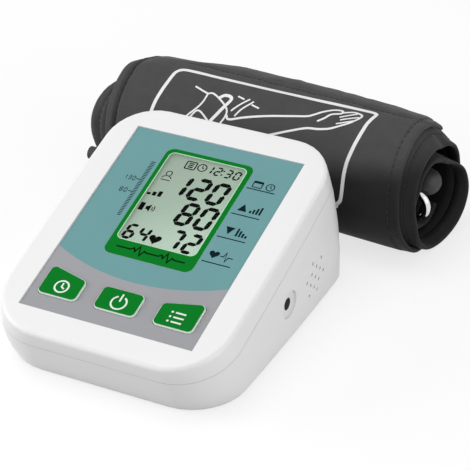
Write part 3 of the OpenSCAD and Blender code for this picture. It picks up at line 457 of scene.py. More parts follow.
def round_box(u0, u1, v0, v1, r):
    corners = [((u1 - r, v1 - r), 0), ((u0 + r, v1 - r), 90), ((u0 + r, v0 + r), 180),
               ((u1 - r, v0 + r), 270)]
    return [p for centre, start in corners for p in arc(centre, r, start, start + 90, 8)]


def band(outer, inner):
    n = len(outer)
    return list(outer) + list(inner), [(i, (i + 1) % n, n + (i + 1) % n, n + i) for i in range(n)]


def new_piece(name, data, material, body):
    """Puts a mesh in the scene, as one piece that rides on a body."""
    data.materials.append(material)
    piece = bpy.data.objects.new(name, data)
    bpy.context.scene.collection.objects.link(piece)
    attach(piece, body)
    return piece


def ink(name, shapes, w, material, body="monitor"):
    """Lays shapes on the panel at height w."""
    mesh = bmesh.new()
    for points, faces in shapes:
        made = [mesh.verts.new(on_panel(u, v, w)) for u, v in points]
        for face in faces:
            mesh.faces.new([made[i] for i in face])
    bmesh.ops.recalc_face_normals(mesh, faces=mesh.faces)
    for face in mesh.faces:
        if face.normal.dot(ALONG_W) < 0:
            face.normal_flip()
    data = bpy.data.meshes.new(name)
    mesh.to_mesh(data)
    mesh.free()
    print(name, len(data.polygons), "faces of ink")
    return new_piece(name, data, material, body)


# %% Inks, nearly without gloss
def printed(name, colour, rough, tone, gloss):
    return finish(name, srgb(*colour), rough, tone=tone, Specular_IOR_Level=gloss)


ink_dark = printed("ink_dark", (12, 34, 40), 0.6, 0.03, 0.02)
ink_white = printed("ink_white", (240, 242, 240), 0.5, 0.01, 0.08)
ink_green = printed("ink_green", (8, 122, 38), 0.5, 0.03, 0.02)
ink_black = printed("ink_black", (8, 30, 12), 0.6, 0.03, 0.02)
ink_halo = printed("ink_halo", (190, 226, 196), 0.5, 0.02, 0.1)
# edge_shade is the grey of the painted shade along the film's edge, laid like ink
edge_shade = printed("edge_shade", (150, 160, 162), 0.5, 0.02, 0.1)
lcd_black = printed("lcd_black", (8, 12, 10), 0.6, 0.02, 0.01)
key_print = printed("key_print", (6, 122, 36), 0.45, 0.03, 0.03)

# %% [markdown]
# Beside the display the panel has four labels, each with a line below it, and a pressure scale.
# The words are left off here: each label gets a plain sign for what it stands for, and the scale
# keeps plain numbers.

# %% Figures of seven segments: each runs between two places on a grid of 2 columns and 3 rows
SEGMENTS = {"a": ((0, 2), (1, 2)), "b": ((1, 1), (1, 2)), "c": ((1, 0), (1, 1)),
            "d": ((0, 0), (1, 0)), "e": ((0, 0), (0, 1)), "f": ((0, 1), (0, 2)),
            "g": ((0, 1), (1, 1))}
LIT = {"0": "abcdef", "1": "bc", "2": "abged", "3": "abgcd", "4": "fgbc", "6": "afgedc", "7": "abc",
       "8": "abcdefg"}
SEGMENT_GAP = 0.08


def figure(digit, u, v, width, height, weight):
    """u and v are the figure's lower left corner."""
    h = weight / 2
    columns, rows = (u + h, u + width - h), (v + h, v + height / 2, v + height - h)
    shapes = []
    for key in LIT[digit]:
        a, b = (Vector((columns[i], rows[j])) for i, j in SEGMENTS[key])
        d = (b - a).normalized()
        a, b = a + d * SEGMENT_GAP, b - d * SEGMENT_GAP
        n, tip = left_of(d) * h, d * h
        shapes.append(patch([a, a + tip - n, b - tip - n, b, b - tip + n, a + tip + n]))
    return shapes


def number(text, u, v, width, height, weight, space, slant=0.0):
    shapes = []
    for k, digit in enumerate(text):
        for points, faces in figure(digit, u + k * (width + space), v, width, height, weight):
            shapes.append(([(x + slant * (y - v), y) for x, y in points], faces))
    return shapes


def heart(centre, size):
    """The usual heart curve, 32 units across before it is scaled."""
    points = []
    for k in range(36):
        a = 2 * math.pi * k / 36
        tall = 13 * math.cos(a) - 5 * math.cos(2 * a) - 2 * math.cos(3 * a) - math.cos(4 * a)
        points.append((centre[0] + size / 2 * math.sin(a) ** 3, centre[1] + size / 32 * tall))
    return patch(points[::-1])


# %% Painted shade along the film's edge, and the signs beside the display
film_edge = [(-38.4, 12.3), (38.4, 12.3), (38.4, 113.6), (-38.4, 113.6)]
lip_edge = [(-38.85, 12.0), (38.5, 12.0), (38.5, 113.85), (-38.85, 113.85)]
# a grey band round the film, where the lip of its recess would be in shadow: painted shade
ink("panel_edge_painted_shade", [band(lip_edge, film_edge)], 0.02, edge_shade)
label_signs = [strip([(21.2, v), (33.7, v)], 0.5) for v in (95.2, 80.8, 67.9, 54.4)]
label_signs += [strip(round_box(23.0, 27.0, 96.3, 99.6, 0.35), 0.42, closed=True),
                bar(23.1, 98.6, 26.9, 99.6), hoop((30.6, 97.9), 1.75, 0.42),
                strip([(30.6, 99.0), (30.6, 97.9), (31.4, 97.4)], 0.38)]
for base, way in ((82.3, 1), (69.4, -1)):
    tip, foot = (base + 4.4, base + 0.6) if way > 0 else (base + 0.6, base + 4.4)
    label_signs.append(patch([(22.8, foot), (26.8, foot), (24.8, tip)][::way]))
    for k in range(4):
        high = 1.3 + 0.95 * (k if way > 0 else 3 - k)
        label_signs.append(bar(28.0 + 1.4 * k, base + 0.5, 28.85 + 1.4 * k, base + 0.5 + high))
label_signs += [heart((24.6, 58.8), 4.4),
                strip([(27.4, 58.6), (28.7, 58.6), (29.4, 60.9), (30.2, 56.2), (30.9, 58.6),
                       (32.9, 58.6)], 0.46)]
ink("label_signs", label_signs, ON_FILM, ink_dark)

# %% The pressure scale on the left, with two longer marks beside the figures
SCALE_FOOT, SCALE_STEP = 66.3, 0.87
scale_marks = []
for k in range(36):
    v = SCALE_FOOT + k * SCALE_STEP
    end = -25.2 if k in (15, 23) else -23.6
    scale_marks.append(strip([(end, v), (-22.0 + 0.014 * (v - SCALE_FOOT), v)], 0.38))
scale_marks += number("130", -30.9, 85.0, 1.4, 2.6, 0.36, 0.6)
scale_marks += number("80", -29.3, 78.1, 1.4, 2.6, 0.36, 0.6)
ink("scale_marks", scale_marks, ON_FILM, ink_dark)

# %% [markdown]
# ## The display
# A clear window lies over the display glass. A green border is printed on the window, and the
# glass below shows black figures on a grey-green ground that gets lighter to one side. The window
# could be real glass, but light through solid glass is slow to render, so it is mostly
# see-through instead.

# %% Window, border and the pulse line in the border's lower band
def clear_window():
    material, tree, place = new_material("window_clear")
    wipe = add(tree, "ShaderNodeMapRange", {"Value": speckle(tree, place, 90.0, 3.0),
                                            "To Min": 0.22, "To Max": 0.34})
    surface = add(tree, "ShaderNodeBsdfPrincipled", {
        "Base Color": srgb(70, 76, 72), "Roughness": wipe.outputs[0], "Alpha": 0.015,
        "Specular IOR Level": 0.08})
    add(tree, "ShaderNodeOutputMaterial", {"Surface": surface.outputs[0]})
    return material


dress(clear_window(), "display_window")
outer_edge = round_box(-20.0, 20.0, 46.65, 106.35, 3.45)
inner_edge = round_box(-18.0, 17.6, 55.0, 104.3, 2.4)
ON_BORDER = ON_FILM + 0.02
border = ink("window_border", [band(outer_edge, inner_edge)], ON_FILM, ink_green)
halo = ink("window_halo", [strip(inner_edge, 0.4, closed=True)], ON_BORDER, ink_halo)
border.visible_shadow = halo.visible_shadow = False
pulse = [(-15.5, 51.0), (-9.0, 51.0), (-7.8, 52.0), (-6.8, 50.4), (-5.6, 53.4), (-4.2, 48.9),
         (-3.0, 51.6), (-2.0, 51.0), (3.5, 51.0), (4.7, 52.0), (5.7, 50.4), (6.9, 53.4),
         (8.3, 48.9), (9.5, 51.6), (10.5, 51.0), (15.5, 51.0)]
ink("pulse_line", [strip(pulse, 0.7)], ON_BORDER, ink_black)

# %% The ground of the display, lighter towards the lower right
GLASS = -1.43


def display_ground():
    material, tree, place = new_material("display_ground")
    dark, light = on_panel(-18, 100, GLASS - 0.02), on_panel(17, 58, GLASS - 0.02)
    span = (light - dark) / (light - dark).length_squared
    part = maths(tree, "SUBTRACT", measured(tree, "DOT_PRODUCT", place, span), dark.dot(span))
    ramp = add(tree, "ShaderNodeValToRGB", {"Fac": part})
    ramp.color_ramp.elements[0].color = srgb(163, 179, 164)
    ramp.color_ramp.elements[1].color = srgb(200, 222, 204)
    ramp.color_ramp.elements.new(0.45).color = srgb(169, 190, 172)
    surfaced(tree, speckle(tree, place, 1500.0), 0.05, 0.00002,
             {"Base Color": ramp.outputs[0], "Roughness": 0.35, "Specular IOR Level": 0.12})
    return material


dress(display_ground(), "lcd_panel")

# %% Figures on the glass: upper and lower pressure, pulse, and the time
LEAN = 0.125
figures = [disc((7.3, 99.5), 0.42, 12), disc((7.6, 101.7), 0.42, 12)]
for text, *place_and_size in (
        ("120", -10.7, 82.9, 7.3, 12.7, 2.0, 1.3), ("80", -0.8, 69.1, 7.2, 12.9, 1.95, 1.5),
        ("72", 1.6, 56.2, 6.0, 11.0, 1.75, 1.5), ("64", -17.5, 56.3, 4.9, 8.4, 1.4, 1.2),
        ("12", -0.4, 98.3, 3.0, 4.9, 0.78, 0.9), ("30", 8.3, 98.3, 3.0, 4.9, 0.78, 0.9)):
    figures += number(text, *place_and_size, LEAN)
ink("display_figures", figures, GLASS, lcd_black)

# %% Small signs on the glass: a page, a clock, a user, rising bars, a battery, a speaker, a heart
signs = [strip(round_box(-9.5, -5.0, 98.6, 102.7, 0.5), 0.55, closed=True)]
signs += [strip([(-8.4, v), (-6.1, v)], 0.6) for v in (99.7, 100.7, 101.7)]
signs += [hoop((-2.1, 100.8), 1.9, 0.5),
          strip([(-2.1, 101.9), (-2.1, 100.8), (-1.2, 100.4)], 0.42)]
signs += [strip(arc((-14.0, 94.0), 1.25, -60, 240), 0.42),
          strip(arc((-14.0, 90.3), 2.3, 25, 155), 0.42),
          strip([(-16.1, 90.2), (-11.9, 90.2)], 0.42)]
signs += [bar(-18.0 + 2.4 * k, 80.9, -16.3 + 2.4 * k, 82.1 + 0.9 * k) for k in range(3)]
signs += [bar(-17.6, 72.2, -15.5, 76.4),
          patch([(-14.6, 73.3), (-13.8, 73.3), (-12.6, 72.2), (-12.6, 76.2), (-13.8, 75.1),
                 (-14.6, 75.1)])]
signs += [strip(arc((-12.9, 74.2), radius, -42, 42, 10), 0.42) for radius in (1.2, 2.2)]
signs += [heart((-2.8, 59.6), 5.4)]
ink("display_signs", signs, GLASS, lcd_black)

# %% [markdown]
# ## The keys
# Each key is a pale moulded cap with a green printed face, so a pale rim is left round the green.
# The caps come from CAD because they move. Their faces ride with them, and so do the signs: a
# clock for setting the time, the usual power sign, and a list for the stored readings.

# %% Key faces
KEYS = {
    "set_key": [(-16.8, 18.8), (-34.9, 18.8), (-34.9, 33.6), (-16.8, 30.6)],
    "power_key": [(-9.5, 18.8), (9.5, 18.8), (9.5, 30.8), (-9.5, 30.8)],
    "memory_key": [(16.8, 18.8), (34.9, 18.8), (34.9, 33.6), (16.8, 30.6)],
}
CORNER, RIM, KEY_TOP = 2.6, 0.6, 0.7


def key_outline(corners, inset):
    """The hull of four round corners, pulled in by inset."""
    centre = sum((Vector(p) for p in corners), Vector((0, 0))) / 4
    points = []
    for u, v in corners:
        mid = (u + math.copysign(CORNER, centre.x - u), v + math.copysign(CORNER, centre.y - v))
        points += arc(mid, CORNER - inset, 0, 345, 23)
    return [points[i] for i in geometry.convex_hull_2d(points)]


key_white = finish("key_white", srgb(226, 236, 228), 0.4, tone=0.01)
dress(key_white, "set_button", "power_button", "memory_button", angle=60)
for body, corners in KEYS.items():
    shapes = [patch(key_outline(corners, RIM))]
    ink(body + "_face", shapes, KEY_TOP + 0.02, key_print, body)

# %% Key signs
clock = [hoop((-25.7, 24.3), 2.9, 0.75),
         strip([(-25.7, 26.2), (-25.7, 24.2), (-24.3, 23.4)], 0.7)]
power = [strip(arc((0.3, 24.0), 3.2, 118, 422, 40), 0.75),
         strip([(0.3, 24.6), (0.3, 28.4)], 0.75)]
listing = [strip([(24.3, v), (28.8, v)], 0.75) for v in (22.0, 24.3, 26.6)]
listing += [disc((22.9, v), 0.5, 14) for v in (22.0, 24.3, 26.6)]
for body, shapes in (("set_key", clock), ("power_key", power), ("memory_key", listing)):
    ink(body + "_sign", shapes, KEY_TOP + 0.04, ink_white, body)

# %% [markdown]
# ## The rolled cuff
# The cuff is a long strip: woven nylon outside, smooth lining inside and a thin rubber bladder
# between them, with both long edges hemmed. Rolled up, each layer lies at its own radius, and the
# edges spread a little at the ends. The roll could be simulated, but a simulated roll unwinds and
# drifts, so the strip follows the measured spiral of the CAD model at a much finer step, and
# small folds and puckers are added on top.

# %% The spiral: turn in degrees, offset of the radius, and flare and place of each edge, in mm
SPIRAL = np.array([
    [58, -0.8, -1.6, 73, -1.6, -69], [85, 0, -0.8, 72.5, -1, -70], [120, 0, 0.3, 72, 0.4, -70.5],
    [180, 0, 0, 73.4, 0.4, -71], [235, 0.4, -0.3, 74.5, 0, -71], [270, 0, 0, 74, 0, -71],
    [330, 0, 0, 75.2, 0, -70.5], [360, -0.6, -2.2, 75.4, -0.4, -70],
    [385, -2, -3.9, 75.5, -1, -69.5], [418, -3.9, -7, 75.6, -2.2, -69],
    [440, -3.6, -7, 76.5, -1.5, -68.5], [480, -3.5, -5.2, 77, -0.4, -72],
    [494, -3.4, -4.7, 77, -0.2, -76.2], [508, -3.2, -4.6, 77, 0, -79],
    [525, -3, -4.8, 77, 0.4, -80.5], [545, -2.8, -5.4, 77, 0.4, -80.5],
    [567, -2.6, -5.2, 77, 0.4, -79.2], [607, -2.7, 1.1, 77.4, 0, -77.5],
    [640, -3.1, 2.7, 79.3, 0, -74], [665, -3.1, 2.3, 81, 0, -72],
    [690, -3.1, 1.4, 81, 0, -71], [712, -4.9, -0.5, 79.5, 0, -71], [728, -9.4, -1.5, 78, -1, -70],
    [748, -13.4, -2, 77.5, -2, -70], [790, -14.9, -2, 77, -2, -70], [835, -12.4, -1.6, 77, -2, -70],
    [860, -10.2, -1.6, 77, -2, -70], [880, -8.6, -2.8, 77, -1.5, -70],
    [930, -6.6, -3.6, 74, -1, -69], [980, -6, -2, 71, -1, -68], [1006, -6, 0, 71, 0, -68],
    [1026, -7, 0, 71, 0, -68]])
OFFSET, FLARE_R, EDGE_R, FLARE_L, EDGE_L = range(1, 6)
ROLL_R, FLARE, THICK = 28.1, 9.0, 2.2
HALF = THICK / 2
ROLL_Y, ROLL_SKEW = 94.1, math.radians(-3.375)
ROLL_PLACE = (Matrix.Translation((0, ROLL_Y, ROLL_R + HALF))
              @ Matrix.Rotation(ROLL_SKEW, 4, "Z"))
TURN_A, TURN_B = SPIRAL[0, 0], SPIRAL[-1, 0]


def between(b, c, rise_b, rise_c, t):
    """The cubic that leaves b and reaches c with these slopes."""
    return (b * (1 - 3 * t * t + 2 * t ** 3) + c * (3 * t * t - 2 * t ** 3)
            + rise_b * (t - 2 * t * t + t ** 3) + rise_c * (t ** 3 - t * t))


def glide(turn, column):
    """A smooth curve through one column, as in the CAD source."""
    at = SPIRAL[:, 0]
    i = int(np.clip(np.searchsorted(at, turn, side="right") - 1, 0, len(at) - 2))
    a, b, c, d = (SPIRAL[j] for j in (max(0, i - 1), i, i + 1, min(len(at) - 1, i + 2)))
    span = c[0] - b[0]
    rise_b = (c[column] - a[column]) / (c[0] - a[0]) * span
    rise_c = (d[column] - b[column]) / (d[0] - b[0]) * span
    return between(b[column], c[column], rise_b, rise_c, (turn - b[0]) / span)


def ease(x):
    x = min(1.0, max(0.0, x))
    return x * x * (3 - 2 * x)


# %% Folds: soft dents everywhere, and puckers where thread pulls on the hems
HEM_LINE, END_SEAM = 4.6, 86.5
# each table holds places along the roll in mm, and what is true there: SAG_FROM gives the turn
# where the sag begins, in degrees, and the others give a height in mm
SAG = ([-75, -70, -64, -58, -50, -40, -30, -22, 30, 45, 55, 64, 70, 73],
       [3.9, 3.6, 3.1, 2.9, 2.4, 1.7, 0.7, 0, 0, 0.3, 0.5, 0.9, 1.2, 1.8])
SAG_BELOW = ([-75, -22, 56, 66, 72, 76], [1.0, 1.0, 0, 0.4, 0.6, 0.2])
SAG_FROM = ([-70, -62, -54, -40, 40, 73], [82, 74, 66, 60, 60, 58])
HEM_RISE = ([-45, -34, -26, -10, 4, 20, 35, 48, 60], [0, 0.5, 0.7, 0.7, 0.9, 0.6, 0.5, 0.4, 0.3])


def sunk(turn, s, table):
    """How far the top of the roll has sunk towards its ends."""
    near = ease((turn - 10) / 25) - ease((turn - float(np.interp(s, *SAG_FROM))) / 34)
    return float(np.interp(s, *table)) * near


def folds(turn, s, left, right_end):
    """How far the cloth stands out from its smooth spiral. The outer turn lies the loosest."""
    outside = 1 - ease((turn - 380) / 30)
    tall = 0.1 + 0.42 * outside
    dent = noise.noise(Vector((s * 0.028, turn * 0.035, 1.7)))
    crease = noise.noise(Vector((s * 0.05, turn * 0.13, 6.1)))
    near = max(math.exp(-((right_end - HEM_LINE - s) / 4) ** 2),
               math.exp(-((s - left - HEM_LINE) / 4) ** 2))
    pucker = noise.noise(Vector((s * 0.2, turn * 0.55, 3.3))) * near
    fold = tall * (0.8 * dent + 0.35 * crease) + (0.12 + 0.14 * outside) * pucker
    if turn < 170:
        gathers = noise.noise(Vector((s * 0.16, turn * 0.06, 9.2)))
        rise = float(np.interp(s, *HEM_RISE)) * (1 + 0.7 * gathers)
        fold += ease((END_SEAM - turn) / 5) * rise
        fold -= 0.4 * math.exp(-((turn - END_SEAM - 0.6) / 1.6) ** 2) * (0.7 + 1.6 * gathers)
        fold -= sunk(turn, s, SAG)
    elif 370 < turn < 530:
        below = sunk(turn - 360, s, SAG_BELOW if s > 0 else SAG)
        fold -= max(0.0, below - (0.4 if s < 0 else 0))
    if 465 < turn < 625 and s < -60:
        wrinkle = noise.noise(Vector((s * 0.7, turn * 0.014, 5.1)))
        fold += (0.42 * wrinkle * ease((-62 - s) / 5) * ease((turn - 465) / 20)
                 * ease((625 - turn) / 20))
    return fold


def within(turn):
    return min(max(turn, TURN_A), TURN_B - 1e-6)


def edges(turn):
    """Where the strip's left and right edge lie at this turn."""
    return glide(turn, EDGE_L), glide(turn, EDGE_R)


def sheet_point(turn, s, depth):
    """A point of the strip in roll millimetres. depth is measured inward from its middle."""
    shown = within(turn)
    left, right_end = edges(shown)
    r = (ROLL_R + glide(shown, OFFSET)
         + glide(shown, FLARE_R) * ease((s - right_end + FLARE) / FLARE)
         + glide(shown, FLARE_L) * ease((left + FLARE - s) / FLARE))
    r += folds(shown, s, left, right_end) - depth
    a = math.radians(turn)
    if math.sin(a) < -0.5:
        # no layer goes through the table, and an inner layer keeps a little above an outer one
        table = ROLL_R + HALF - 0.03 - 0.3 * max(HALF + depth, -0.06)
        r = min(r, table / -math.sin(a))
    return Vector((s, r * math.cos(a), r * math.sin(a)))


def on_roll(points):
    return [(ROLL_PLACE @ Vector(p)) * MM for p in points]


arc_length = sum((sheet_point(t + 2, 0, 0) - sheet_point(t, 0, 0)).length
                 for t in np.arange(TURN_A, TURN_B - 2, 2))
print("the strip is", round(arc_length), "mm long")


# %% A mesh from rings of points, with its length and width as texture coordinates
def lofted(name, sections, material):
    """Joins sections in order and caps both ends. A section is a closed ring of points in roll
    millimetres and, for each point, its place on the flat cloth in metres."""
    count, last = len(sections[0][0]), len(sections) - 1
    faces = []
    for i in range(last):
        for k in range(count):
            n = (k + 1) % count
            faces.append((i * count + k, i * count + n, (i + 1) * count + n, (i + 1) * count + k))
    faces.append(tuple(range(count))[::-1])
    faces.append(tuple(last * count + k for k in range(count)))
    data = bpy.data.meshes.new(name)
    data.from_pydata([p for ring, _ in sections for p in on_roll(ring)], [], faces)
    flat = [p for _, places in sections for p in places]
    layer = data.uv_layers.new(name="flat")
    for corner in data.loops:
        layer.data[corner.index].uv = flat[corner.vertex_index]
    tidy = bmesh.new()
    tidy.from_mesh(data)
    bmesh.ops.recalc_face_normals(tidy, faces=tidy.faces)
    tidy.to_mesh(data)
    tidy.free()
    data.polygons.foreach_set("use_smooth", [True] * len(data.polygons))
    print(name, len(data.vertices), "points")
    return new_piece(name, data, material, "cuff")

# %% [markdown]
# The cloth is plain-woven nylon. Two sets of fine waves at right angles, one for each direction
# of thread, make the weave as a bump. They run in the strip's own flat coordinates, so the thread
# turns with the roll. A little sheen gives the soft light edge of cloth.

# %% Cloth finishes
# painted light: the cloth turns lighter above a slanted height, as if lit from the upper left
PAINTED_LIGHT_FROM, PAINTED_LIGHT_TO, PAINTED_LIGHT_SLOPE = 0.0275, 0.0395, -0.2


def weave(tree, threads):
    """The height of plain cloth with so many threads in a metre."""
    flat = add(tree, "ShaderNodeTexCoord").outputs["UV"]
    waves = [add(tree, "ShaderNodeTexWave", {
        "Vector": flat, "Scale": threads * math.pi / 10, "Distortion": 0.4, "Detail": 1.0,
        "Detail Scale": 2.0}, bands_direction=direction).outputs[1] for direction in ("X", "Y")]
    return maths(tree, "MULTIPLY", *waves)


def woven(name, colour, threads, rough, sheen, gloss=0.06, painted_light_top=None):
    """The top colour, if given, is a lighter colour that the cloth fades to between two heights, in
    metres. It is painted light on the top of the roll.
    """
    material, tree, place = new_material(name)
    dye = drift(tree, place, colour, 140, 0.07)
    if painted_light_top:
        parts = add(tree, "ShaderNodeSeparateXYZ", {"Vector": place}).outputs
        high = maths(tree, "ADD", parts[2], maths(tree, "MULTIPLY", parts[0], PAINTED_LIGHT_SLOPE))
        share = add(tree, "ShaderNodeMapRange", {"Value": high, "From Min": PAINTED_LIGHT_FROM,
                                                 "From Max": PAINTED_LIGHT_TO},
                    interpolation_type="SMOOTHSTEP")
        dye = blend(tree, share.outputs[0], dye, drift(tree, place, painted_light_top, 140, 0.07))
    height = maths(tree, "ADD", weave(tree, threads), speckle(tree, place, 900.0, 3.0))
    surfaced(tree, height, 0.5, 0.00012,
             {"Base Color": dye, "Roughness": rough, "Sheen Weight": sheen,
              "Sheen Roughness": 0.4, "Specular IOR Level": gloss})
    return material


# the cover cloth is painted lighter on the top of the roll, as painted light
cuff_cloth = woven("cuff_cloth", srgb(43, 43, 44), 1700, 0.6, 0.06, painted_light_top=srgb(75, 75, 76))
lining_cloth = woven("lining_cloth", srgb(24, 24, 25), 2600, 0.6, 0.03)
hook_tape = woven("hook_tape", srgb(30, 30, 31), 900, 0.9, 0.1)
thread_finish = finish("thread", srgb(66, 66, 68), 0.8, tone=0.1, grain=5000,
                       Specular_IOR_Level=0.1)

# %% Stations along and across the strip
COVER, HEM, FINE = 0.6, 6.0, 3.0
COIL_R = 24


def turn_list(start, end):
    return list(np.linspace(start, end, int(math.ceil((end - start) / FINE)) + 1))


def spread(a, b):
    """Stations across the strip, close together at the edges and the hem lines."""
    lines = [0, 0.5, 1.2, 2.0, 2.6, 3.1, 3.6, 4.1, HEM_LINE, 5.1, 5.7, 6.5, 8, 11]
    middle = np.linspace(a + 15, b - 15, 34)
    return [a + x for x in lines] + list(middle) + [b - x for x in lines[::-1]]


def section(ring, turn, radius=COIL_R):
    """A ring with its place on the flat cloth, for a coil of this mean radius."""
    return ring, [(p[0] * MM, math.radians(turn) * radius * MM) for p in ring]


# %% Cover with its hems: the outside, a round edge, the inside, and the other round edge
def groove(turn, s, a, b):
    """How deep the seams pull the cloth in."""
    right_seam = 0.3 * math.exp(-((b - HEM_LINE - s) / 0.55) ** 2)
    left_seam = 1.3 * math.exp(-((s - a - HEM_LINE) / 0.65) ** 2)
    left_seam -= 0.35 * math.exp(-((s - a - HEM_LINE + 1.5) / 0.8) ** 2)
    left_seam *= 1 - 0.7 * ease((turn - 380) / 30)
    end_seam = 0.3 * math.exp(-((turn - END_SEAM) / 0.8) ** 2)
    return left_seam if abs(left_seam) > 0.05 else max(right_seam, end_seam)


def rounded(turn, edge, way, full):
    """The round edge of the strip. way is 1 on the right and -1 on the left."""
    angles = [math.radians(way * (30 * k - 90)) for k in range(1, 6)]
    return [sheet_point(turn, edge + way * HALF * (math.cos(q) - 1), HALF * math.sin(q) * full)
            for q in angles]


def cover_ring(turn, full):
    """full is below 1 where the strip tapers to its free end."""
    a, b = edges(within(turn))
    ring = [sheet_point(turn, s, (-HALF + groove(turn, s, a, b)) * full)
            for s in spread(a + HALF, b - HALF)]
    ring += rounded(turn, b, 1, full)
    inner = [b - HALF, b - 3.0, b - HEM + 0.3, b - HEM - 0.2]
    inner += list(np.linspace(b - HEM - 2, a + HEM + 2, 30))
    inner += [a + HEM + 0.2, a + HEM - 0.3, a + 3.0, a + HALF]
    for s in inner:
        in_hem = s > b - HEM or s < a + HEM
        ring.append(sheet_point(turn, s, (HALF if in_hem else COVER - HALF) * full))
    return ring + rounded(turn, a, -1, full)


tip = [(TURN_A - 2.0, 0.12), (TURN_A - 1.7, 0.55), (TURN_A - 0.9, 0.88)]
near_seam = [END_SEAM + x for x in (-4, -3, -2, -1.4, -0.8, -0.3, 0.2, 0.8, 1.4, 2, 3, 4, 5.5)]
body_turns = turn_list(TURN_A, END_SEAM - 5) + near_seam + turn_list(END_SEAM + 8, TURN_B)
cover = [section(cover_ring(turn, full), turn - TURN_A)
         for turn, full in tip + [(turn, 1.0) for turn in body_turns]]
cuff_cover = lofted("cuff_cover_cloth", cover, cuff_cloth)
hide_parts("cuff_cover")


# %% Lining between the hems, the bladder behind it, and the hook patch near the free end
def thin_sheet(name, first, last, reach, count, outer, inner, material, start=0.0,
               radius=COIL_R):
    """A thin sheet between two depths. reach gives its two edges at a turn."""
    sections = []
    for turn in turn_list(first, last):
        across = list(np.linspace(*reach(turn), count))
        ring = [sheet_point(turn, s, outer) for s in across]
        ring += [sheet_point(turn, s, inner) for s in across[::-1]]
        sections.append(section(ring, turn - start, radius))
    return lofted(name, sections, material)


def inside(margin):
    """The reach of a sheet that stays this far from the strip's edges."""
    return lambda turn: (edges(turn)[0] + margin, edges(turn)[1] - margin)


cuff_lining = thin_sheet("cuff_lining_cloth", TURN_A + 1, TURN_B - 1, inside(HEM + 0.1), 36,
                         HALF - 0.35, HALF - 0.02, lining_cloth, start=TURN_A)
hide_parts("cuff_lining")

BLADDER_A, BLADDER_B, BLADDER_INSET = 118, 726, 13
bladder = thin_sheet("bladder_sheet", BLADDER_A, BLADDER_B, inside(BLADDER_INSET), 30,
                     -0.42, 0.68, bladder_rubber, radius=25)
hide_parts("cuff_bladder")

HOOK_HALF = 55
hooks = thin_sheet("hook_patch_tape", TURN_A + 24, TURN_A + 68,
                   lambda turn: (-HOOK_HALF, HOOK_HALF), 24, HALF + 0.04, HALF + 0.6, hook_tape,
                   radius=27)
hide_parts("hook_patch")

# %% [markdown]
# Both hems and the free end are sewn. Each stitch is a short thread that dips into the cloth at
# its ends. They are separate small shapes in one mesh, because a line in the material would have
# no height and would vanish in side light. Below the roll the table presses them flat.

# %% Stitches
STITCH_STEP = 2.7
STITCH = ((0, 0.3, -0.12), (0.2, 0.9, 0.03), (0.5, 1, 0.08), (0.8, 0.9, 0.03), (1, 0.3, -0.12))


def stitches(name, places, radius):
    """places are pairs of points in roll millimetres, one pair for each stitch."""
    mesh = bmesh.new()
    for start, end in places:
        along = (end - start).normalized()
        side = along.cross(Vector((0, start.y, start.z)).normalized()).normalized()
        out = side.cross(along).normalized()
        rings = []
        for share, fat, lift in STITCH:
            middle = start.lerp(end, share) + out * lift
            ring = [middle + (side * math.cos(q) + out * math.sin(q)) * radius * fat
                    for q in (k * math.pi / 3 for k in range(6))]
            rings.append([mesh.verts.new((p.x, p.y, max(p.z, 0))) for p in on_roll(ring)])
        for one, two in zip(rings, rings[1:]):
            for k in range(6):
                mesh.faces.new((one[k], one[(k + 1) % 6], two[(k + 1) % 6], two[k]))
        mesh.faces.new(rings[0][::-1])
        mesh.faces.new(rings[-1])
    bmesh.ops.recalc_face_normals(mesh, faces=mesh.faces)
    data = bpy.data.meshes.new(name)
    mesh.to_mesh(data)
    mesh.free()
    data.polygons.foreach_set("use_smooth", [True] * len(data.polygons))
    piece = new_piece(name, data, thread_finish, "cuff")
    print(name, len(places), "stitches")
    return piece


hem_places = []
turn = TURN_A + 2
while turn < TURN_B - 6:
    here = sheet_point(turn, 0, 0)
    step = math.degrees(STITCH_STEP / math.hypot(here.y, here.z))
    left, right_end = edges(turn)
    for line, deep in ((right_end - HEM_LINE, 0.1),
                       (left + HEM_LINE, 0.85 if turn < 390 else 0.25)):
        hem_places.append((sheet_point(turn, line, -HALF + deep),
                           sheet_point(turn + step * 0.74, line, -HALF + deep)))
    turn += step
hem_stitching = stitches("hem_stitches", hem_places, 0.17)
end_places = [(sheet_point(END_SEAM, s, -HALF + 0.2), sheet_point(END_SEAM, s + 2.0, -HALF + 0.2))
              for s in np.arange(-64, 66, STITCH_STEP)]
end_stitching = stitches("free_end_stitches", end_places, 0.15)

# %% [markdown]
# White ink on the outside of the cuff shows a frame and an arm that wears a cuff, so that the
# user puts it on the right way. The arm here is a plain line drawing. Its lines are strips again,
# bent round the roll: each point is looked up on the strip's own surface, so the ink follows
# every fold.

# %% Ink bent round the roll, in steps short enough to follow the folds
INK_STEP = 0.9
MM_PER_DEGREE = math.radians(1) * (ROLL_R + HALF)


def resampled(points):
    line = [Vector(p) for p in points]
    out = []
    for a, b in zip(line, line[1:]):
        n = max(1, round((b - a).length / INK_STEP))
        out += [a.lerp(b, k / n) for k in range(n)]
    return [tuple(p) for p in [*out, line[-1]]]


def roll_ink(name, lines):
    """lines are (points, width); a point is (s in mm, turn in degrees)."""
    verts, faces = [], []
    for points, width in lines:
        flat = resampled([(s, turn * MM_PER_DEGREE) for s, turn in points])
        made, quads = strip(flat, width)
        base = len(verts)
        verts += [sheet_point(y / MM_PER_DEGREE, x, -HALF - 0.05) for x, y in made]
        faces += [tuple(base + i for i in quad) for quad in quads]
    data = bpy.data.meshes.new(name)
    data.from_pydata(on_roll(verts), [], faces)
    piece = new_piece(name, data, print_white, "cuff")
    solid = piece.modifiers.new("thickness", "SOLIDIFY")
    solid.thickness, solid.offset = 0.00004, 0
    print(name, len(faces), "faces")
    return piece


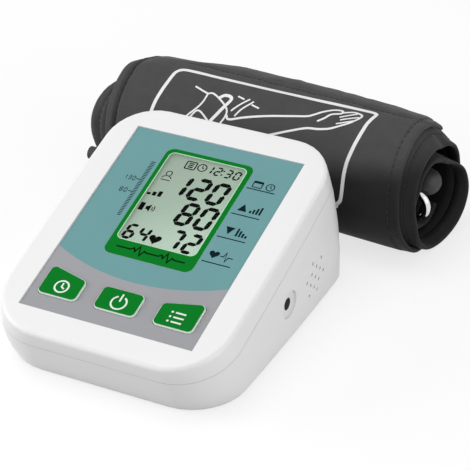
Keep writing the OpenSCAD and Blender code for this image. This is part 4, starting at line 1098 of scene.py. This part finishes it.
def bent(points, steps=6):
    """A smooth line through a few points."""
    line = [Vector(p) for p in points]
    last, out = len(line) - 1, []
    for i in range(last):
        a, b, c, d = line[max(0, i - 1)], line[i], line[i + 1], line[min(last, i + 2)]
        out += [between(b, c, (c - a) / 2, (d - b) / 2, k / steps) for k in range(steps)]
    return [tuple(p) for p in [*out, line[-1]]]


print_white = finish("print_white", srgb(236, 236, 236), 0.6, tone=0.02, grain=1700,
                     relief=0.00005, strength=0.4)
frame_line = bent([
    (-49.0, 182), (-49.0, 160), (-48.8, 144), (-48.1, 134), (-46.9, 121.7), (-46.2, 110.6),
    (-45.7, 105.4), (-44.2, 101.7), (-41.2, 100.0), (-32.5, 99.7), (-24.9, 99.6), (-10.2, 98.5),
    (2, 97.7), (13.8, 96.6), (23.4, 95.9), (32.7, 95.1), (42, 94.3), (47.6, 94.0), (49.8, 94.9),
    (50.2, 97.6), (49.2, 107.3), (48.8, 120.5), (48.1, 134.6), (47.5, 147.6), (47.4, 160.1),
    (47.2, 173.5), (46.4, 180.2), (43.8, 184.6), (41, 186), (0, 187), (-42, 187)])
arm = [
    (0.8, [(-32.9, 114.6), (-29.1, 116.8), (-25.6, 118.6)]),
    (0.8, [(-25.5, 118.9), (-26.1, 127.7), (-28.0, 134.2), (-30.5, 140.3), (-32.5, 145)]),
    (0.8, [(-25.6, 118.6), (-23.2, 117.3), (-18.8, 121.1), (-14.8, 126.2), (-13.3, 130.5),
           (-13.5, 135.5), (-14.6, 141.0)]),
    (1.5, [(-20.0, 143.5), (-15.4, 126.5), (-13.8, 119.1), (-14.9, 116.3), (-17.6, 116.5),
           (-19.4, 119.9)]),
    (0.8, [(-29.6, 143.0), (-26.6, 135.2), (-20.8, 141.5)]),
    (0.95, [(-12.8, 133.0), (-11.2, 136.0), (-4.0, 130.7), (6.5, 124.2), (14.4, 120.2),
            (22.1, 116.1), (24.8, 113.0), (28.5, 107.1), (32.4, 102.3), (35.6, 101.3),
            (35.9, 104.4), (32.2, 108.1), (30.2, 113.4), (27.9, 118.1)]),
    (0.95, [(3, 145.5), (11.7, 138.0), (17.7, 132.5), (24.6, 126.6), (30.1, 124.8), (35.1, 121.6),
            (39.8, 115.1), (42.8, 109.9)]),
    (0.85, [(36.1, 103.4), (40.8, 99.6), (44.8, 101.0), (44.6, 104.8), (42.9, 109.4)]),
    (0.7, [(36.2, 108.8), (39.3, 104.6), (42.7, 100.6)]),
    (0.7, [(37.1, 111.3), (40.7, 107.3), (44.3, 103.9)]),
    (0.7, [(36.3, 116.1), (39.7, 112.4), (43.0, 108.7)]),
    (0.75, [(-11.6, 128.6), (-8.6, 120.6), (-5.6, 114.0)]),
    (0.75, [(-9.2, 132.1), (-7.1, 124.6), (-3.4, 115.3)]),
    (0.75, [(-11.5, 114.1), (-8.1, 115.5)]),
    (0.75, [(-3.8, 118.6), (0.2, 120.1)]),
]
frame_print = roll_ink("cuff_frame_print", [(frame_line, 1.6)])
arm_print = roll_ink("cuff_arm_print", [(bent(points), width) for width, points in arm])

# %% [markdown]
# ## Padded end, loop and ring
# The inner end of the cuff is a padded roll of cloth with a loop round the metal ring. The roll
# is soft: its ends are rounded and gathered, and shallow wrinkles run along it.

# %% The padded roll
SLEEVE_Y, SLEEVE_Z, SLEEVE_R, SLEEVE_HALF = 6.0, -2.7, 5.8, 70.0


def circle(s, y, z, count, radius_at):
    """Points round a line across the roll. radius_at gives the radius at an angle."""
    points = []
    for k in range(count):
        angle = 2 * math.pi * k / count
        r = radius_at(angle)
        points.append(Vector((s, y + r * math.cos(angle), z + r * math.sin(angle))))
    return points


def tube_section(ring, step):
    """A ring with its place on the flat cloth, where its points are step millimetres apart."""
    return ring, [(p[0] * MM, k * step * MM) for k, p in enumerate(ring)]


def sleeve_radius(s, angle):
    """Round at the tips, with shallow wrinkles along it and gathers near its ends."""
    past = max(0.0, abs(s) - SLEEVE_HALF) / SLEEVE_R
    body = SLEEVE_R * math.sqrt(max(0.0, 1 - past * past))
    wave = noise.noise(Vector((s * 0.05, math.cos(angle) * 0.9, math.sin(angle) * 0.9)))
    gather = math.sin(angle * 9 + 2 * wave) * ease((abs(s) - 66) / 6) * 0.12
    return body * (1 - 0.03 * abs(wave)) - gather * body / SLEEVE_R


tips = [SLEEVE_HALF + SLEEVE_R * math.sin(math.radians(q)) for q in range(10, 90, 10)]
tips.append(SLEEVE_HALF + SLEEVE_R * 0.998)
along_sleeve = ([-t for t in tips[::-1]] + list(np.linspace(-SLEEVE_HALF, SLEEVE_HALF, 57))
                + tips)
sleeve_parts = [
    tube_section(circle(s, SLEEVE_Y, SLEEVE_Z, 40, lambda angle: sleeve_radius(s, angle)), 0.91)
    for s in along_sleeve]
sleeve_cloth = woven("sleeve_cloth", srgb(58, 58, 60), 1700, 0.42, 0.1, gloss=0.3)
sleeve = lofted("padded_end", sleeve_parts, sleeve_cloth)
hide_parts("ring_sleeve")

# %% The loop round the ring's upper bar, and the cloth that joins the padded end to the strip
RING_Y, RING_Z, LOOP_HALF = -1.7, -4.1, 56.0
LOOP_OUT, LOOP_IN = 2.48, 1.74


def loop_radius(s, angle):
    return LOOP_OUT + 0.06 * noise.noise(Vector((s * 0.12, math.cos(angle), math.sin(angle))))


loop_parts = []
for s in np.linspace(-LOOP_HALF, LOOP_HALF, 57):
    ring = circle(s, RING_Y, RING_Z, 24, lambda angle: loop_radius(s, angle))
    ring += circle(s, RING_Y, RING_Z, 24, lambda angle: LOOP_IN)[::-1]
    loop_parts.append(tube_section(ring, 0.6))
loop = lofted("ring_loop", loop_parts, cuff_cloth)
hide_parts("ring_sleeve")

WEB_HALF, WEB_HALF_THICK = 63.8, 0.85
web_line = bent([(9.4, -5.6), (10.6, -8.6), (11.9, -12.0), (12.5, -14.6), (12.3, -16.4)], 5)
web_parts = []
for s in np.linspace(-WEB_HALF, WEB_HALF, 41):
    ring = []
    for side in (WEB_HALF_THICK, -WEB_HALF_THICK):
        for y, z in (web_line if side > 0 else web_line[::-1]):
            sway = 0.25 * noise.noise(Vector((s * 0.07, z * 0.2, 4.4)))
            ring.append(Vector((s, y + side + sway, z)))
    web_parts.append((ring, [(s * MM, p.z * MM) for p in ring]))
web = lofted("joining_cloth", web_parts, lining_cloth)
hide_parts("ring_sleeve")
